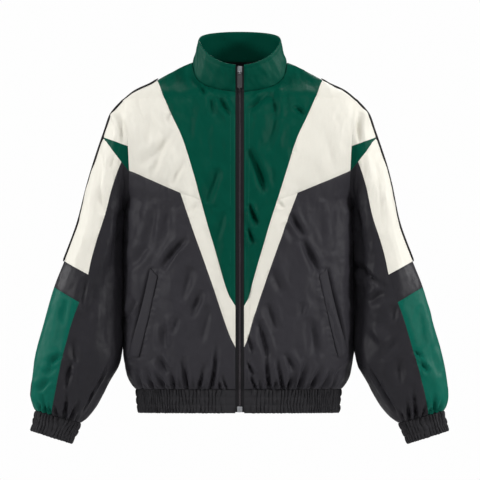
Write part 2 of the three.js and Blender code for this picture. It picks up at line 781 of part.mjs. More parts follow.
function cuff() {
  const ringAt = (row, angle) => {
    const mix = (signedPower(Math.cos(angle), 2 / SLEEVE_POWER) + 1) / 2;
    return new THREE.Vector3(
      THREE.MathUtils.lerp(row.ix, row.ox, mix),
      row.y - row.depth * signedPower(Math.sin(angle), 2 / SLEEVE_POWER),
      THREE.MathUtils.lerp(row.iz, row.oz, mix),
    );
  };
  const surface = (u, v) => ringAt(CUFF.bottom, -2 * Math.PI * u).lerp(ringAt(CUFF.top, -2 * Math.PI * u), v);
  const middle = (row) => new THREE.Vector3((row.ix + row.ox) / 2, row.y, (row.iz + row.oz) / 2);
  const outwards = (u, v) => surface(u, v).sub(middle(CUFF.bottom).lerp(middle(CUFF.top), v)).normalize();
  return ribbedBand(surface, outwards, CUFF.ribs, CUFF.ribs, true, 0);
}

// Pocket welt and piping

function pocketWelt() {
  const { outerTop, outerBottom, innerTop, innerBottom } = POCKET;
  const mixed = (a, b, c, d, u, v) => THREE.MathUtils.lerp(THREE.MathUtils.lerp(a, b, u), THREE.MathUtils.lerp(c, d, u), v);
  const surface = (u, v) => {
    const x = mixed(innerBottom.x, outerBottom.x, innerTop.x, outerTop.x, u, v);
    const z = mixed(innerBottom.z, outerBottom.z, innerTop.z, outerTop.z, u, v);
    return frontPointAt(x, z);
  };
  const rows = Array.from({ length: POCKET.rows + 1 }, (_, i) => ({ v: i / POCKET.rows, columns: 2 }));
  const sheet = sheetOf(surface, () => POCKET.rise + POCKET.wall, rows);
  return wallOf(sheet, sheet.triangles, POCKET.wall, (u, v) => new THREE.Vector3(0, 0, surface(u, v).z));
}

/** The piping on the seam from the shoulder to below the elbow, laid just outside the cloth's edge. */
function piping() {
  const shoulderLevels = [PIPING.startZ, -37, -44, -50, -55, -60];
  const route = shoulderLevels.map((z) => new THREE.Vector2(shoulderX(z), z));
  const lastRing = SLEEVE_RINGS.findIndex((row) => row.oz < PIPING.endZ);
  for (let v = 0; v < lastRing; v++) route.push(new THREE.Vector2(ring.ox(v), ring.oz(v)));
  const end = (PIPING.endZ - ring.oz(lastRing - 1)) / (ring.oz(lastRing) - ring.oz(lastRing - 1));
  route.push(new THREE.Vector2(ring.ox(lastRing - 1 + end), PIPING.endZ));
  const { halfWidth, clear, height } = PIPING;
  const section = [
    [-halfWidth, clear],
    [-halfWidth * 0.6, clear + height],
    [halfWidth * 0.6, clear + height],
    [halfWidth, clear],
  ];
  const corners = route.map((place, i) => {
    const before = route[Math.max(0, i - 1)];
    const after = route[Math.min(route.length - 1, i + 1)];
    const out = new THREE.Vector2(before.y - after.y, after.x - before.x).normalize();
    return section.map(([y, rise]) => new THREE.Vector3(place.x + out.x * rise, y, place.y + out.y * rise));
  });
  return prismFrom(corners);
}

/** A closed prism through sections that all have the same count of corners. */
function prismFrom(sections) {
  const size = sections[0].length;
  const index = [];
  for (let i = 1; i < sections.length; i++) {
    for (let k = 0; k < size; k++) {
      const next = (k + 1) % size;
      const [a, b] = [(i - 1) * size + k, (i - 1) * size + next];
      index.push(a, b, a + size, b, b + size, a + size);
    }
  }
  const last = (sections.length - 1) * size;
  for (let k = 2; k < size; k++) {
    index.push(0, k, k - 1);
    index.push(last, last + k - 1, last + k);
  }
  return outwardFacing(geometryFrom(sections.flat(), index));
}

/** Turns a closed geometry's faces out if they point in. */
function outwardFacing(geometry) {
  const [a, b, c] = [new THREE.Vector3(), new THREE.Vector3(), new THREE.Vector3()];
  const { position } = geometry.attributes;
  const index = geometry.getIndex();
  let volume = 0;
  for (let i = 0; i < index.count; i += 3) {
    [a, b, c].forEach((corner, k) => corner.fromBufferAttribute(position, index.getX(i + k)));
    volume += a.dot(b.clone().cross(c));
  }
  return volume < 0 ? mirrored(geometry).scale(-1, 1, 1) : geometry;
}

// Zip

const COLLAR_FRONT = { seam: collarPoint(0, 0), rim: collarPoint(0, 1) };

/** The front of the cloth on the centre line. */
function zipY(z) {
  if (z < HEM.topZ) {
    const mix = (z - HEM.bottomZ) / (HEM.topZ - HEM.bottomZ);
    return -THREE.MathUtils.lerp(HEM.bottom.front, HEM.top.front, mix);
  }
  const { seam, rim } = COLLAR_FRONT;
  if (z < seam.z) return -frontDepth(z);
  return THREE.MathUtils.mapLinear(z, seam.z, rim.z, seam.y, rim.y);
}

const ZIP_LEVELS = [
  HEM.topZ, -636, -624, -600, -568, -518, -468, -418, -368, -328, -288, -254, -220, -190, -160, -130, -100, -82, -64,
  COLLAR_FRONT.seam.z, -38, -24, -12,
];

function zipStrip(x0, x1, front, wall, bottomZ) {
  const levels = [bottomZ, ...ZIP_LEVELS, ZIP.topZ];
  const sections = levels.map((z) => {
    const y = zipY(z) - front;
    return [[x0, y], [x1, y], [x1, y + wall], [x0, y + wall]].map(([x, depth]) => new THREE.Vector3(x, depth, z));
  });
  return prismFrom(sections);
}

const zipTape = () =>
  zipStrip(ZIP.tapeInner, ZIP_EDGE_X - SEAM_GAP / 2, -ZIP.tapeSink, ZIP.tapeWall, ZIP.bottomZ);

const zipCoil = () =>
  zipStrip(-ZIP.coilHalf, ZIP.coilHalf, ZIP.coilProud, ZIP.coilWall, ZIP.bottomZ + RETAINER.height + SEAM_GAP);

// Hard pieces, joined and cut as solids

function solidFrom(geometry) {
  const merged = mergeVertices(geometry.clone().deleteAttribute('normal').deleteAttribute('uv'), 1e-4);
  return new wasm.Manifold(
    new wasm.Mesh({
      numProp: 3,
      vertProperties: new Float32Array(merged.attributes.position.array),
      triVerts: new Uint32Array(merged.index.array),
    }),
  );
}

function geometryOf(solid) {
  const mesh = solid.getMesh();
  const points = [];
  for (let i = 0; i < mesh.vertProperties.length; i += mesh.numProp)
    points.push(new THREE.Vector3(...mesh.vertProperties.subarray(i, i + 3)));
  return geometryFrom(points, [...mesh.triVerts]);
}

const boxAt = (width, depth, height, x, y, z) => new THREE.BoxGeometry(width, depth, height).translate(x, y, z);

/** A flat plate in the XZ plane with rounded corners, its middle at y. */
function roundedPlate(width, topZ, bottomZ, corner, depth) {
  const half = width / 2;
  const shape = new THREE.Shape();
  shape.moveTo(-half + corner, topZ);
  shape.lineTo(half - corner, topZ);
  shape.absarc(half - corner, topZ - corner, corner, Math.PI / 2, 0, true);
  shape.absarc(half - corner, bottomZ + corner, corner, 0, -Math.PI / 2, true);
  shape.absarc(-half + corner, bottomZ + corner, corner, -Math.PI / 2, -Math.PI, true);
  shape.absarc(-half + corner, topZ - corner, corner, Math.PI, Math.PI / 2, true);
  return { shape, depth };
}

function extruded({ shape, depth }) {
  const geometry = new THREE.ExtrudeGeometry(shape, { depth, bevelEnabled: false, curveSegments: 5 });
  return geometry.translate(0, 0, -depth / 2).rotateX(Math.PI / 2);
}

function retainer() {
  const { width, height, depth, slot, slotDepth, clear } = RETAINER;
  const plate = solidFrom(extruded(roundedPlate(width, height, 0, 1.6, depth)));
  const groove = solidFrom(boxAt(slot, slotDepth * 2, height * 0.55, 0, -depth / 2, height * 0.45));
  const y = zipY(ZIP.bottomZ) + ZIP.tapeSink - clear - depth / 2;
  return geometryOf(plate.subtract(groove)).translate(0, y, ZIP.bottomZ);
}

/** The bail: half a ring round the pull's axis, its ends run back to the slider's plate. */
function bailShape() {
  const { inner, outer, standOff } = BAIL;
  const shape = new THREE.Shape();
  shape.moveTo(standOff + 0.4, outer);
  shape.lineTo(0, outer);
  shape.absarc(0, 0, outer, Math.PI / 2, (3 * Math.PI) / 2, false);
  shape.lineTo(standOff + 0.4, -outer);
  shape.lineTo(standOff + 0.4, -inner);
  shape.lineTo(0, -inner);
  shape.absarc(0, 0, inner, (3 * Math.PI) / 2, Math.PI / 2, true);
  shape.lineTo(standOff + 0.4, inner);
  shape.closePath();
  return shape;
}

const PULL_AXIS_Y = zipY(PULL.axisZ) - ZIP.coilProud - SLIDER.clear - SLIDER.depth - BAIL.standOff;

function slider() {
  const { width, height, depth, topZ } = SLIDER;
  const plate = solidFrom(
    extruded(roundedPlate(width, topZ - PULL.axisZ, topZ - height - PULL.axisZ, 2.4, depth)).translate(
      0,
      BAIL.standOff + depth / 2,
      0,
    ),
  );
  const loop = new THREE.ExtrudeGeometry(bailShape(), {
    depth: 2 * BAIL.halfWidth,
    bevelEnabled: false,
    curveSegments: BAIL.segments,
  });
  loop.translate(0, 0, -BAIL.halfWidth).applyMatrix4(
    new THREE.Matrix4().makeBasis(new THREE.Vector3(0, 1, 0), new THREE.Vector3(0, 0, 1), new THREE.Vector3(1, 0, 0)),
  );
  const { seam, rim } = COLLAR_FRONT;
  const lean = Math.atan2(seam.y - rim.y, rim.z - seam.z);
  return geometryOf(plate.add(solidFrom(loop))).rotateX(lean).translate(0, PULL_AXIS_Y, PULL.axisZ);
}

function pullTab() {
  const { width, length, depth, eyeWidth, eyeTop, eyeBottom, corner } = PULL;
  const plate = roundedPlate(width, eyeTop, -length, corner, depth);
  const eye = new THREE.Path();
  eye.moveTo(-eyeWidth / 2, -eyeTop);
  eye.lineTo(-eyeWidth / 2, -eyeBottom);
  eye.lineTo(eyeWidth / 2, -eyeBottom);
  eye.lineTo(eyeWidth / 2, -eyeTop);
  eye.closePath();
  plate.shape.holes.push(eye);
  return mergeVertices(extruded(plate).deleteAttribute('normal').deleteAttribute('uv'), 1e-4);
}

// The jacket

const jacket = new THREE.Group();
jacket.name = 'track_jacket';

function add(name, geometry, finish) {
  const mesh = new THREE.Mesh(geometry, new THREE.MeshStandardMaterial(FINISH[finish]));
  mesh.name = name;
  jacket.add(mesh);
  return mesh;
}

function addPair(name, geometry, finish) {
  add(`${name}_left`, geometry, finish);
  add(`${name}_right`, mirrored(geometry), finish);
}

const PANEL_FINISH = {
  front_green: 'green',
  front_chest: 'cream',
  front_chevron: 'cream',
  front_lower: 'charcoal',
  sleeve_cap: 'cream',
  sleeve_insert: 'green',
  sleeve_stripe: 'cream',
  sleeve_front: 'charcoal',
  sleeve_forearm: 'forearm',
};

for (const [name, geometry] of [...frontPanels(), ...sleeveFrontPanels()]) addPair(name, geometry, PANEL_FINISH[name]);
add('back', backPanel(), 'charcoal');
addPair('sleeve_back', sleeveBackPanel(), 'charcoal');
addPair('cuff', cuff(), 'elastic');
add('hem_band', hemBand(), 'elastic');
add('collar', collar(), 'green');
addPair('pocket_welt', pocketWelt(), 'charcoal');
addPair('piping', piping(), 'tape');
addPair('zip_tape', zipTape(), 'tape');
add('zip_coil', zipCoil(), 'tape');
add('zip_retainer', retainer(), 'metal');
add('zip_slider', slider(), 'metal');
add('pull_tab', pullTab(), 'enamel').position.set(0, PULL_AXIS_Y, PULL.axisZ);

export default jacket;
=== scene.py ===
"""A zipped track jacket with colour-blocked nylon panels, filled out as if worn, with nothing inside it.

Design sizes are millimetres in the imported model's frame: +X is the wearer's left, -Y the front, +Z up,
and the origin lies on the centre line at the height of the side neck. Meshes are made in metres.
"""

from __future__ import annotations

import logging
import math
from collections.abc import Callable, Iterable, Mapping, Sequence
from dataclasses import dataclass, field
from enum import Enum
from functools import partial
from typing import Any, ClassVar, NamedTuple

import bpy
import numpy as np
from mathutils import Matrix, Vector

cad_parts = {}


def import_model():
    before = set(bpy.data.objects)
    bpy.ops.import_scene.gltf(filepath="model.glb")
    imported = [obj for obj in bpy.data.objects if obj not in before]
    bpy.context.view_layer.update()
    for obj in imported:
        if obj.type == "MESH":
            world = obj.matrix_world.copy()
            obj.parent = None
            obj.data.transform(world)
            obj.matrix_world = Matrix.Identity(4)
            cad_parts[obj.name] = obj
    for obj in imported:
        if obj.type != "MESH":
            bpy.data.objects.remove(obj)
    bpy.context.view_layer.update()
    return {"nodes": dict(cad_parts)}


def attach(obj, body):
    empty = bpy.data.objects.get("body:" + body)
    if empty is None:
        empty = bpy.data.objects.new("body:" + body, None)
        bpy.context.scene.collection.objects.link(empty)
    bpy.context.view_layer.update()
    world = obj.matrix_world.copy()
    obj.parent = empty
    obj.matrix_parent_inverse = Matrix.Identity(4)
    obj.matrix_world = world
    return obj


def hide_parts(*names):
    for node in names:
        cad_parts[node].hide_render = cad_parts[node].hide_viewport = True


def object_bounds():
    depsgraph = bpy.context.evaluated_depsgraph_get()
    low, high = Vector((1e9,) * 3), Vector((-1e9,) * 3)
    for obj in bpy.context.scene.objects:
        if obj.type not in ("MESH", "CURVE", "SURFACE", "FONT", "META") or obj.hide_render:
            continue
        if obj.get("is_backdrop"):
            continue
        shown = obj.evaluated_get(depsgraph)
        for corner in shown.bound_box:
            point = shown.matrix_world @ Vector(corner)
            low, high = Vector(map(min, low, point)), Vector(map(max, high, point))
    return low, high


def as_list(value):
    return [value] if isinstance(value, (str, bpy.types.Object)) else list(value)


LOG = logging.getLogger("track_jacket")
Array = np.ndarray
Surface = Callable[[Array, Array], Array]
Measure = Callable[[Array], Array]
Lift = Callable[[Array, Array], Array]

MM = 0.001
JACKET_BODY = "jacket"
SEAM_GAP = 0.3
DRAWN_IN = 0.12
LEAST_DRAWN = 0.7
LEAST_SLOPE = 1e-6
SIDES_APART = 400
CLOTH_WALL = 1.6
SMOOTH_ANGLE = math.radians(62)


class Face(Enum):
    """Which way a half of the cloth looks."""

    FRONT = -1
    BACK = 1


class Side(Enum):
    """The wearer's left, with positive X, or right."""

    LEFT = 1
    RIGHT = -1

    @property
    def word(self) -> str:
        """The side's word in a node's name."""
        return self.name.lower()


# Curves and small sums


class Curve:
    """A smooth curve through a short table that never swings past its rows.

    Between two rows it is a cubic whose end slopes are the harmonic means of the neighbouring slopes.
    """

    def __init__(self, at: Sequence[float], value: Sequence[float]) -> None:
        """Sorts the rows and works out their slopes.

        Args:
            at: where each row stands.
            value: what the curve is there.
        """
        order = np.argsort(at)
        self.at = np.asarray(at, float)[order]
        self.value = np.asarray(value, float)[order]
        rise = np.diff(self.value) / np.diff(self.at)
        product = rise[:-1] * rise[1:]
        total = np.where(product > 0, rise[:-1] + rise[1:], 1.0)
        inner = np.where(product > 0, 2 * product / total, 0.0)
        self.slope = np.concatenate((rise[:1], inner, rise[-1:]))

    @classmethod
    def of(cls, rows: Sequence[Sequence[float]], column: int = 1) -> Curve:
        """Makes a curve from a table.

        Args:
            rows: rows that each start with the place where they stand.
            column: which of a row's numbers is its value.

        Returns:
            The curve through them.
        """
        return cls([row[0] for row in rows], [row[column] for row in rows])

    def __call__(self, place: Array | float) -> Array:
        """Reads the curve, running straight on past its ends.

        Args:
            place: where to read it.

        Returns:
            Its values there.
        """
        place = np.asarray(place, float)
        i = np.clip(np.searchsorted(self.at, place, side="right") - 1, 0, len(self.at) - 2)
        span = self.at[i + 1] - self.at[i]
        s = np.clip((place - self.at[i]) / span, 0, 1)
        ease = s * s * (3 - 2 * s)
        inside = self.value[i] + (self.value[i + 1] - self.value[i]) * ease
        start, end = s * (1 - s) ** 2 * span, s * s * (s - 1) * span
        inside = inside + start * self.slope[i] + end * self.slope[i + 1]
        below = np.minimum(place - self.at[0], 0) * self.slope[0]
        above = np.maximum(place - self.at[-1], 0) * self.slope[-1]
        return inside + below + above


def signed_power(value: Array, power: float) -> Array:
    """Raises a number's size to a power and keeps its sign."""
    return np.sign(value) * np.abs(value) ** power


def mixed(a: Any, b: Any, share: Any) -> Any:
    """Goes from a to b as share goes from 0 to 1."""
    return a + (b - a) * share


def ramp(low: float, high: float, value: Array) -> Array:
    """Rises smoothly from 0 at low to 1 at high."""
    s = np.clip((value - low) / (high - low), 0, 1)
    return s * s * (3 - 2 * s)


def bell(off: Array, width: float | Array) -> Array:
    """A Gaussian hump, 1 where off is 0 and narrow or broad by its width."""
    return np.exp(-((off / width) ** 2))


def xyz(x: Array | float, y: Array | float, z: Array | float) -> Array:
    """Stacks coordinates into points."""
    return np.stack(np.broadcast_arrays(x, y, z), axis=-1)


def unit(vectors: Array) -> Array:
    """Scales each vector to a length of 1."""
    return vectors / np.maximum(np.linalg.norm(vectors, axis=-1, keepdims=True), 1e-12)


class Noise:
    """Smooth random heights over a plane, the same on every run.

    Each corner of a square lattice has a random slope, and a point blends the four slopes around it.
    """

    SIZE = 256

    def __init__(self, seed: int) -> None:
        """Draws the lattice's slopes.

        Args:
            seed: the number that fixes the draw.
        """
        angle = np.random.default_rng(seed).uniform(0, 2 * np.pi, (self.SIZE, self.SIZE))
        self.slope = np.stack((np.cos(angle), np.sin(angle)), axis=-1)

    def __call__(self, x: Array, y: Array) -> Array:
        """Reads the heights.

        Args:
            x: first coordinate, in lattice steps.
            y: second coordinate, in lattice steps.

        Returns:
            Heights from about -1 to 1.
        """
        x, y = np.broadcast_arrays(np.asarray(x, float), np.asarray(y, float))
        column, row = np.floor(x).astype(int), np.floor(y).astype(int)
        right, up = x - column, y - row
        ease_x, ease_y = (s * s * s * (s * (s * 6 - 15) + 10) for s in (right, up))

        def corner(dx: int, dy: int) -> Array:
            """One corner's share of the height."""
            slope = self.slope[(column + dx) % self.SIZE, (row + dy) % self.SIZE]
            return slope[..., 0] * (right - dx) + slope[..., 1] * (up - dy)

        lower = mixed(corner(0, 0), corner(1, 0), ease_x)
        upper = mixed(corner(0, 1), corner(1, 1), ease_x)
        return 1.5 * mixed(lower, upper, ease_y)


# Trunk, sleeve, collar and band forms


class SleeveRing(NamedTuple):
    """A ring of the sleeve: its outer and inner points in the front view, half depth and middle."""

    ox: float
    oz: float
    ix: float
    iz: float
    depth: float
    y: float


class Spot(NamedTuple):
    """A point in the front view."""

    x: float
    z: float


# Heights with half widths, but for the trunk's depth, with its reach in front and behind
SHOULDER_LINE = (
    (10, 84), (3, 94.5), (0, 110.5), (-12, 135.5), (-24, 158), (-36, 176.5), (-48, 203), (-60, 226.5),
    (-64, 233),
)
TRUNK_SIDE = (
    (-288, 227), (-368, 231.5), (-468, 233.5), (-568, 230.5), (-600, 227), (-624, 222), (-636, 216),
    (-646, 208.5),
)
TRUNK_DEPTH = (
    (10, 2, 60.5), (3, 6, 69), (0, 9, 71), (-12, 21, 77), (-24, 35, 82), (-36, 52, 87), (-52, 78, 92.5),
    (-64, 88, 96), (-100, 102, 104), (-160, 115, 110), (-220, 122, 111), (-288, 123, 108),
    (-368, 122, 105), (-468, 122, 106), (-568, 122, 108), (-600, 119.5, 106), (-624, 115, 102),
    (-636, 110, 98), (-646, 105, 93),
)
ARMHOLE_LINE = (
    (-64, 233), (-72, 231.5), (-100, 229), (-160, 223.5), (-210, 221.5), (-250, 222.5), (-288, 227),
)
SLEEVE_RINGS = tuple(
    SleeveRing(*row)
    for row in (
        (233.6, -64, 227.6, -288, 62, 0), (239.5, -72.5, 227.8, -289.5, 62.5, 0),
        (252, -96, 228.1, -292, 63.5, 0), (268.5, -132, 228.6, -297, 65, 0),
        (285.5, -180, 229.3, -305, 66, -1), (303.5, -240, 231, -322, 67, -3),
        (322, -312, 233.3, -352, 68, -6), (348.5, -384, 236.2, -414, 68, -9),
        (372, -444, 237, -474, 68, -12), (392.5, -516, 236.3, -548, 68, -15),
        (405.5, -564, 242.5, -596, 67, -17), (413.5, -612, 262.5, -636, 64, -19),
        (417.5, -660, 287, -682, 54, -20), (413, -681, 305, -704, 43, -20),
        (407.9, -688.6, 317.3, -713.2, 35, -20),
    )
)


@dataclass(frozen=True)
class Trunk:
    """The body of the jacket: rounded level sections between the shoulder line and the hem band."""

    HALVINGS: ClassVar[int] = 40

    power: float = 2.3
    zip_edge: float = 8.6
    hem_z: float = -645.4
    top_z: float = 10
    armhole_top: float = -64
    armhole_bottom: float = -288
    armhole_depth: float = 62
    armhole_power: float = 2.2
    half_girth: float = 290
    shoulder: Curve = field(default_factory=lambda: Curve.of(SHOULDER_LINE))
    side: Curve = field(default_factory=lambda: Curve.of(TRUNK_SIDE))
    armhole: Curve = field(default_factory=lambda: Curve.of(ARMHOLE_LINE))
    front: Curve = field(default_factory=lambda: Curve.of(TRUNK_DEPTH, 1))
    back: Curve = field(default_factory=lambda: Curve.of(TRUNK_DEPTH, 2))

    def armhole_z(self, turn: Array) -> Array:
        """The armhole loop's height at a turn from its top, 0, to its bottom, 1."""
        middle = (self.armhole_top + self.armhole_bottom) / 2
        half = (self.armhole_top - self.armhole_bottom) / 2
        return middle + half * signed_power(np.cos(np.pi * turn), 2 / self.armhole_power)

    def armhole_reach(self, z: Array) -> Array:
        """The armhole loop's half depth at a height."""
        middle = (self.armhole_top + self.armhole_bottom) / 2
        half = (self.armhole_top - self.armhole_bottom) / 2
        share = np.minimum(1, np.abs(z - middle) / half)
        return self.armhole_depth * (1 - share**self.armhole_power) ** (1 / self.armhole_power)

    def section(self, depth: Array, z: Array) -> tuple[Array, Array]:
        """Sizes a level section.

        Between the armhole's ends, the section is as wide as it must be to pass through the armhole loop.

        Args:
            depth: the section's reach in front or behind.
            z: its height.

        Returns:
            The section's half width and the angle at which its half ends.
        """
        x = self.armhole(z)
        share = (self.armhole_reach(z) / depth) ** self.power
        open_half = x / (1 - share) ** (1 / self.power)
        above, below = z > self.armhole_top, z < self.armhole_bottom
        half = np.where(above, self.shoulder(z), np.where(below, self.side(z), open_half))
        end = np.arcsin(np.minimum(1, (x / open_half) ** (self.power / 2)))
        return half, np.where(above | below, np.pi / 2, end)

    def angles(self, face: Face, z: Array) -> tuple[Array, Array, Array, Array]:
        """Depth, half width and the angles between which a half section runs at a height."""
        depth = self.front(z) if face is Face.FRONT else self.back(z)
        half, end = self.section(depth, z)
        start = np.zeros_like(half)
        if face is Face.FRONT:
            start = np.arcsin((self.zip_edge / half) ** (self.power / 2))
        return depth, half, start, end

    def point(self, face: Face, u: Array, z: Array) -> Array:
        """Points of the left half: x = half sin(a)^(2/n), y = depth cos(a)^(2/n).

        Args:
            face: front or back.
            u: 0 on the centre line to 1 at the side.
            z: height.

        Returns:
            The points.
        """
        depth, half, start, end = self.angles(face, z)
        angle = start + (end - start) * u
        x = half * np.sin(angle) ** (2 / self.power)
        y = face.value * depth * np.maximum(0, np.cos(angle)) ** (2 / self.power)
        return xyz(x, y, z)

    def share_at(self, face: Face, x: Array, z: Array) -> Array:
        """The u of a point found from its place in the front view."""
        _, half, start, end = self.angles(face, z)
        angle = np.arcsin(np.minimum(1, x / half) ** (self.power / 2))
        return (angle - start) / (end - start)

    def height_at(self, x: Array, y: Array) -> Array:
        """The surface's height above a plan point near the neck, found by halving."""
        low = np.full(np.shape(x), float(self.armhole_top))
        high = np.full(np.shape(x), float(self.top_z))
        for _ in range(self.HALVINGS):
            z = (low + high) / 2
            depth = np.where(y < 0, self.front(z), self.back(z))
            reach = (x / self.shoulder(z)) ** self.power + (np.abs(y) / depth) ** self.power
            high = np.where(reach > 1, z, high)
            low = np.where(reach > 1, low, z)
        return (low + high) / 2


@dataclass
class Sleeve:
    """The left sleeve: rounded rings that turn from the armhole's plane to the cuff's."""

    trunk: Trunk
    power: float = 2.2
    fade_rings: float = 4
    armhole_clear: float = 0.1
    half_girth: float = 225
    samples: int = 400

    def __post_init__(self) -> None:
        """Makes the curves through the rings and the way along them."""
        rings = np.arange(len(SLEEVE_RINGS))
        table = np.array(SLEEVE_RINGS, float)
        self.ring = {name: Curve(rings, table[:, k]) for k, name in enumerate(SleeveRing._fields)}
        self.steps = np.linspace(0, rings[-1], self.samples)
        ox, oz, ix, iz, _, _ = (curve(self.steps) for curve in self.ring.values())
        routes = (np.stack((ox, oz)), self.middle(self.steps).T, np.stack((ix, iz)))
        outer, middle, inner = (np.linalg.norm(np.diff(route), axis=0) for route in routes)
        stride = np.maximum((outer + middle) / 2, inner / 2)
        self.run = np.concatenate(([0], np.cumsum(stride)))

    @property
    def length(self) -> float:
        """The way from the armhole to the cuff seam."""
        return float(self.run[-1])

    def middle(self, ring: Array) -> Array:
        """The middles of rings."""
        ox, oz, ix, iz, _, y = (curve(ring) for curve in self.ring.values())
        return xyz((ox + ix) / 2, y, (oz + iz) / 2)

    def ring_at(self, way: Array) -> Array:
        """The ring at a way along the sleeve."""
        return np.interp(way, self.run, self.steps)

    def point(self, face: Face, u: Array, way: Array) -> Array:
        """Points of the sleeve: cos^(2/n) from the outer to the inner point, sin^(2/n) forward or back.

        Args:
            face: front or back.
            u: 0 at the outer edge to 1 at the inner edge.
            way: millimetres along the sleeve from the armhole.

        Returns:
            The points.
        """
        v = self.ring_at(way)
        angle = np.pi * u
        mix = (signed_power(np.cos(angle), 2 / self.power) + 1) / 2
        across = np.maximum(0, np.sin(angle)) ** (2 / self.power)
        top = SLEEVE_RINGS[0]
        bend = self.trunk.armhole(self.trunk.armhole_z(u)) + self.armhole_clear - mixed(top.ix, top.ox, mix)
        fade = np.maximum(0, 1 - v / self.fade_rings) ** 2
        x = mixed(self.ring["ix"](v), self.ring["ox"](v), mix) + bend * fade
        y = self.ring["y"](v) + face.value * self.ring["depth"](v) * across
        z = mixed(self.ring["iz"](v), self.ring["oz"](v), mix)
        return xyz(x, y, z)


# Meshes


@dataclass
class MeshData:
    """Points in millimetres, triangles, quads and a cloth coordinate for each point."""

    points: Array
    triangles: Array
    quads: Array
    weave: Array

    def mirrored(self) -> MeshData:
        """The same piece on the other side, its faces still pointing out."""
        points = self.points * np.array([-1.0, 1.0, 1.0])
        return MeshData(points, self.triangles[:, ::-1], self.quads[:, ::-1], self.weave)

    def on(self, side: Side) -> MeshData:
        """The piece on a side, made as the left one."""
        return self if side is Side.LEFT else self.mirrored()

    def mesh(self, name: str) -> bpy.types.Mesh:
        """Puts the arrays into a mesh in metres, smooth but for its true edges.

        Args:
            name: the mesh's name.

        Returns:
            The mesh, with the cloth coordinate as its UV map in metres.
        """
        mesh = bpy.data.meshes.new(name)
        loops = np.concatenate((self.triangles.ravel(), self.quads.ravel())).astype(np.int32)
        sizes = np.concatenate((np.full(len(self.triangles), 3), np.full(len(self.quads), 4)))
        starts = np.concatenate(([0], np.cumsum(sizes)[:-1])).astype(np.int32)
        mesh.vertices.add(len(self.points))
        mesh.vertices.foreach_set("co", (self.points * MM).astype(np.float32).ravel())
        mesh.loops.add(len(loops))
        mesh.loops.foreach_set("vertex_index", loops)
        mesh.polygons.add(len(sizes))
        mesh.polygons.foreach_set("loop_start", starts)
        mesh.update(calc_edges=True)
        mesh.validate()
        layer = mesh.uv_layers.new(name="weave")
        layer.data.foreach_set("uv", (self.weave[loops] * MM).astype(np.float32).ravel())
        mesh.polygons.foreach_set("use_smooth", np.ones(len(sizes), bool))
        mesh.set_sharp_from_angle(angle=SMOOTH_ANGLE)
        return mesh


NO_TRIANGLES = np.zeros((0, 3), int)
EDGE_TURNS = (36, 72, 108, 144)
EDGE_BULGE = 0.8
FINE_STEP = 0.4


def loft(sections: Array, round_closed: bool, along_closed: bool, weave: Array | None = None) -> MeshData:
    """Joins rows of points into a skin, with a fan over each open end of a closed round.

    Args:
        sections: points as (rows, around, 3).
        round_closed: whether each row closes on itself.
        along_closed: whether the last row joins the first.
        weave: cloth coordinates as (rows, around, 2), or None for those of the rows' lengths.

    Returns:
        The mesh, its faces turned out if it is closed.
    """
    rows, around = sections.shape[:2]
    grid = np.arange(rows * around).reshape(rows, around)
    if along_closed:
        grid = np.concatenate((grid, grid[:1]))
    if round_closed:
        grid = np.concatenate((grid, grid[:, :1]), axis=1)
    quads = np.stack((grid[:-1, :-1], grid[1:, :-1], grid[1:, 1:], grid[:-1, 1:]), axis=-1).reshape(-1, 4)
    points = sections.reshape(-1, 3)
    if weave is None:
        lengths = [
            np.cumsum(np.linalg.norm(np.diff(sections, axis=k, prepend=first), axis=-1), axis=k)
            for k, first in ((1, sections[:, :1]), (0, sections[:1]))
        ]
        weave = np.stack(lengths, axis=-1)
    weave = weave.reshape(-1, 2)
    triangles = NO_TRIANGLES
    if round_closed and not along_closed:
        ends = sections[[0, -1]].mean(axis=1)
        first, last = grid[0], grid[-1]
        hubs = np.full(around, len(points)), np.full(around, len(points) + 1)
        fans = (first[:-1], first[1:], hubs[0]), (last[1:], last[:-1], hubs[1])
        triangles = np.concatenate([np.stack(fan, axis=-1) for fan in fans])
        points = np.concatenate((points, ends))
        weave = np.concatenate((weave, weave[[0, -1]]))
    data = MeshData(points, triangles, quads, weave)
    if round_closed and signed_volume(data) < 0:
        data = MeshData(points, triangles[:, ::-1], quads[:, ::-1], weave)
    return data


def signed_volume(data: MeshData) -> float:
    """Six times the volume inside a closed mesh, below 0 if its faces point in."""
    quads = data.quads
    corners = np.concatenate((data.triangles, quads[:, :3], quads[:, [0, 2, 3]]))
    a, b, c = (data.points[corners[:, k]] for k in range(3))
    return float(np.sum(a * np.cross(b, c)))


def surface_frame(
    surface: Surface, u: Array, v: Array, step: tuple[float, float]
) -> tuple[Array, Array, Array]:
    """Points of a surface, its unit directions along v and its unit normals, du cross dv.

    Args:
        surface: the function of u and v.
        u: first parameter.
        v: second parameter.
        step: the small steps of u and v for the differences.

    Returns:
        Points, directions along v, and normals.
    """
    inward = np.where(u > 0.5, -1.0, 1.0) * step[0]
    point = surface(u, v)
    along_u = (surface(u + inward, v) - point) * np.sign(inward)[..., None]
    along_v = surface(u, v + step[1]) - surface(u, v - step[1])
    return point, unit(along_v), unit(np.cross(along_u, along_v))


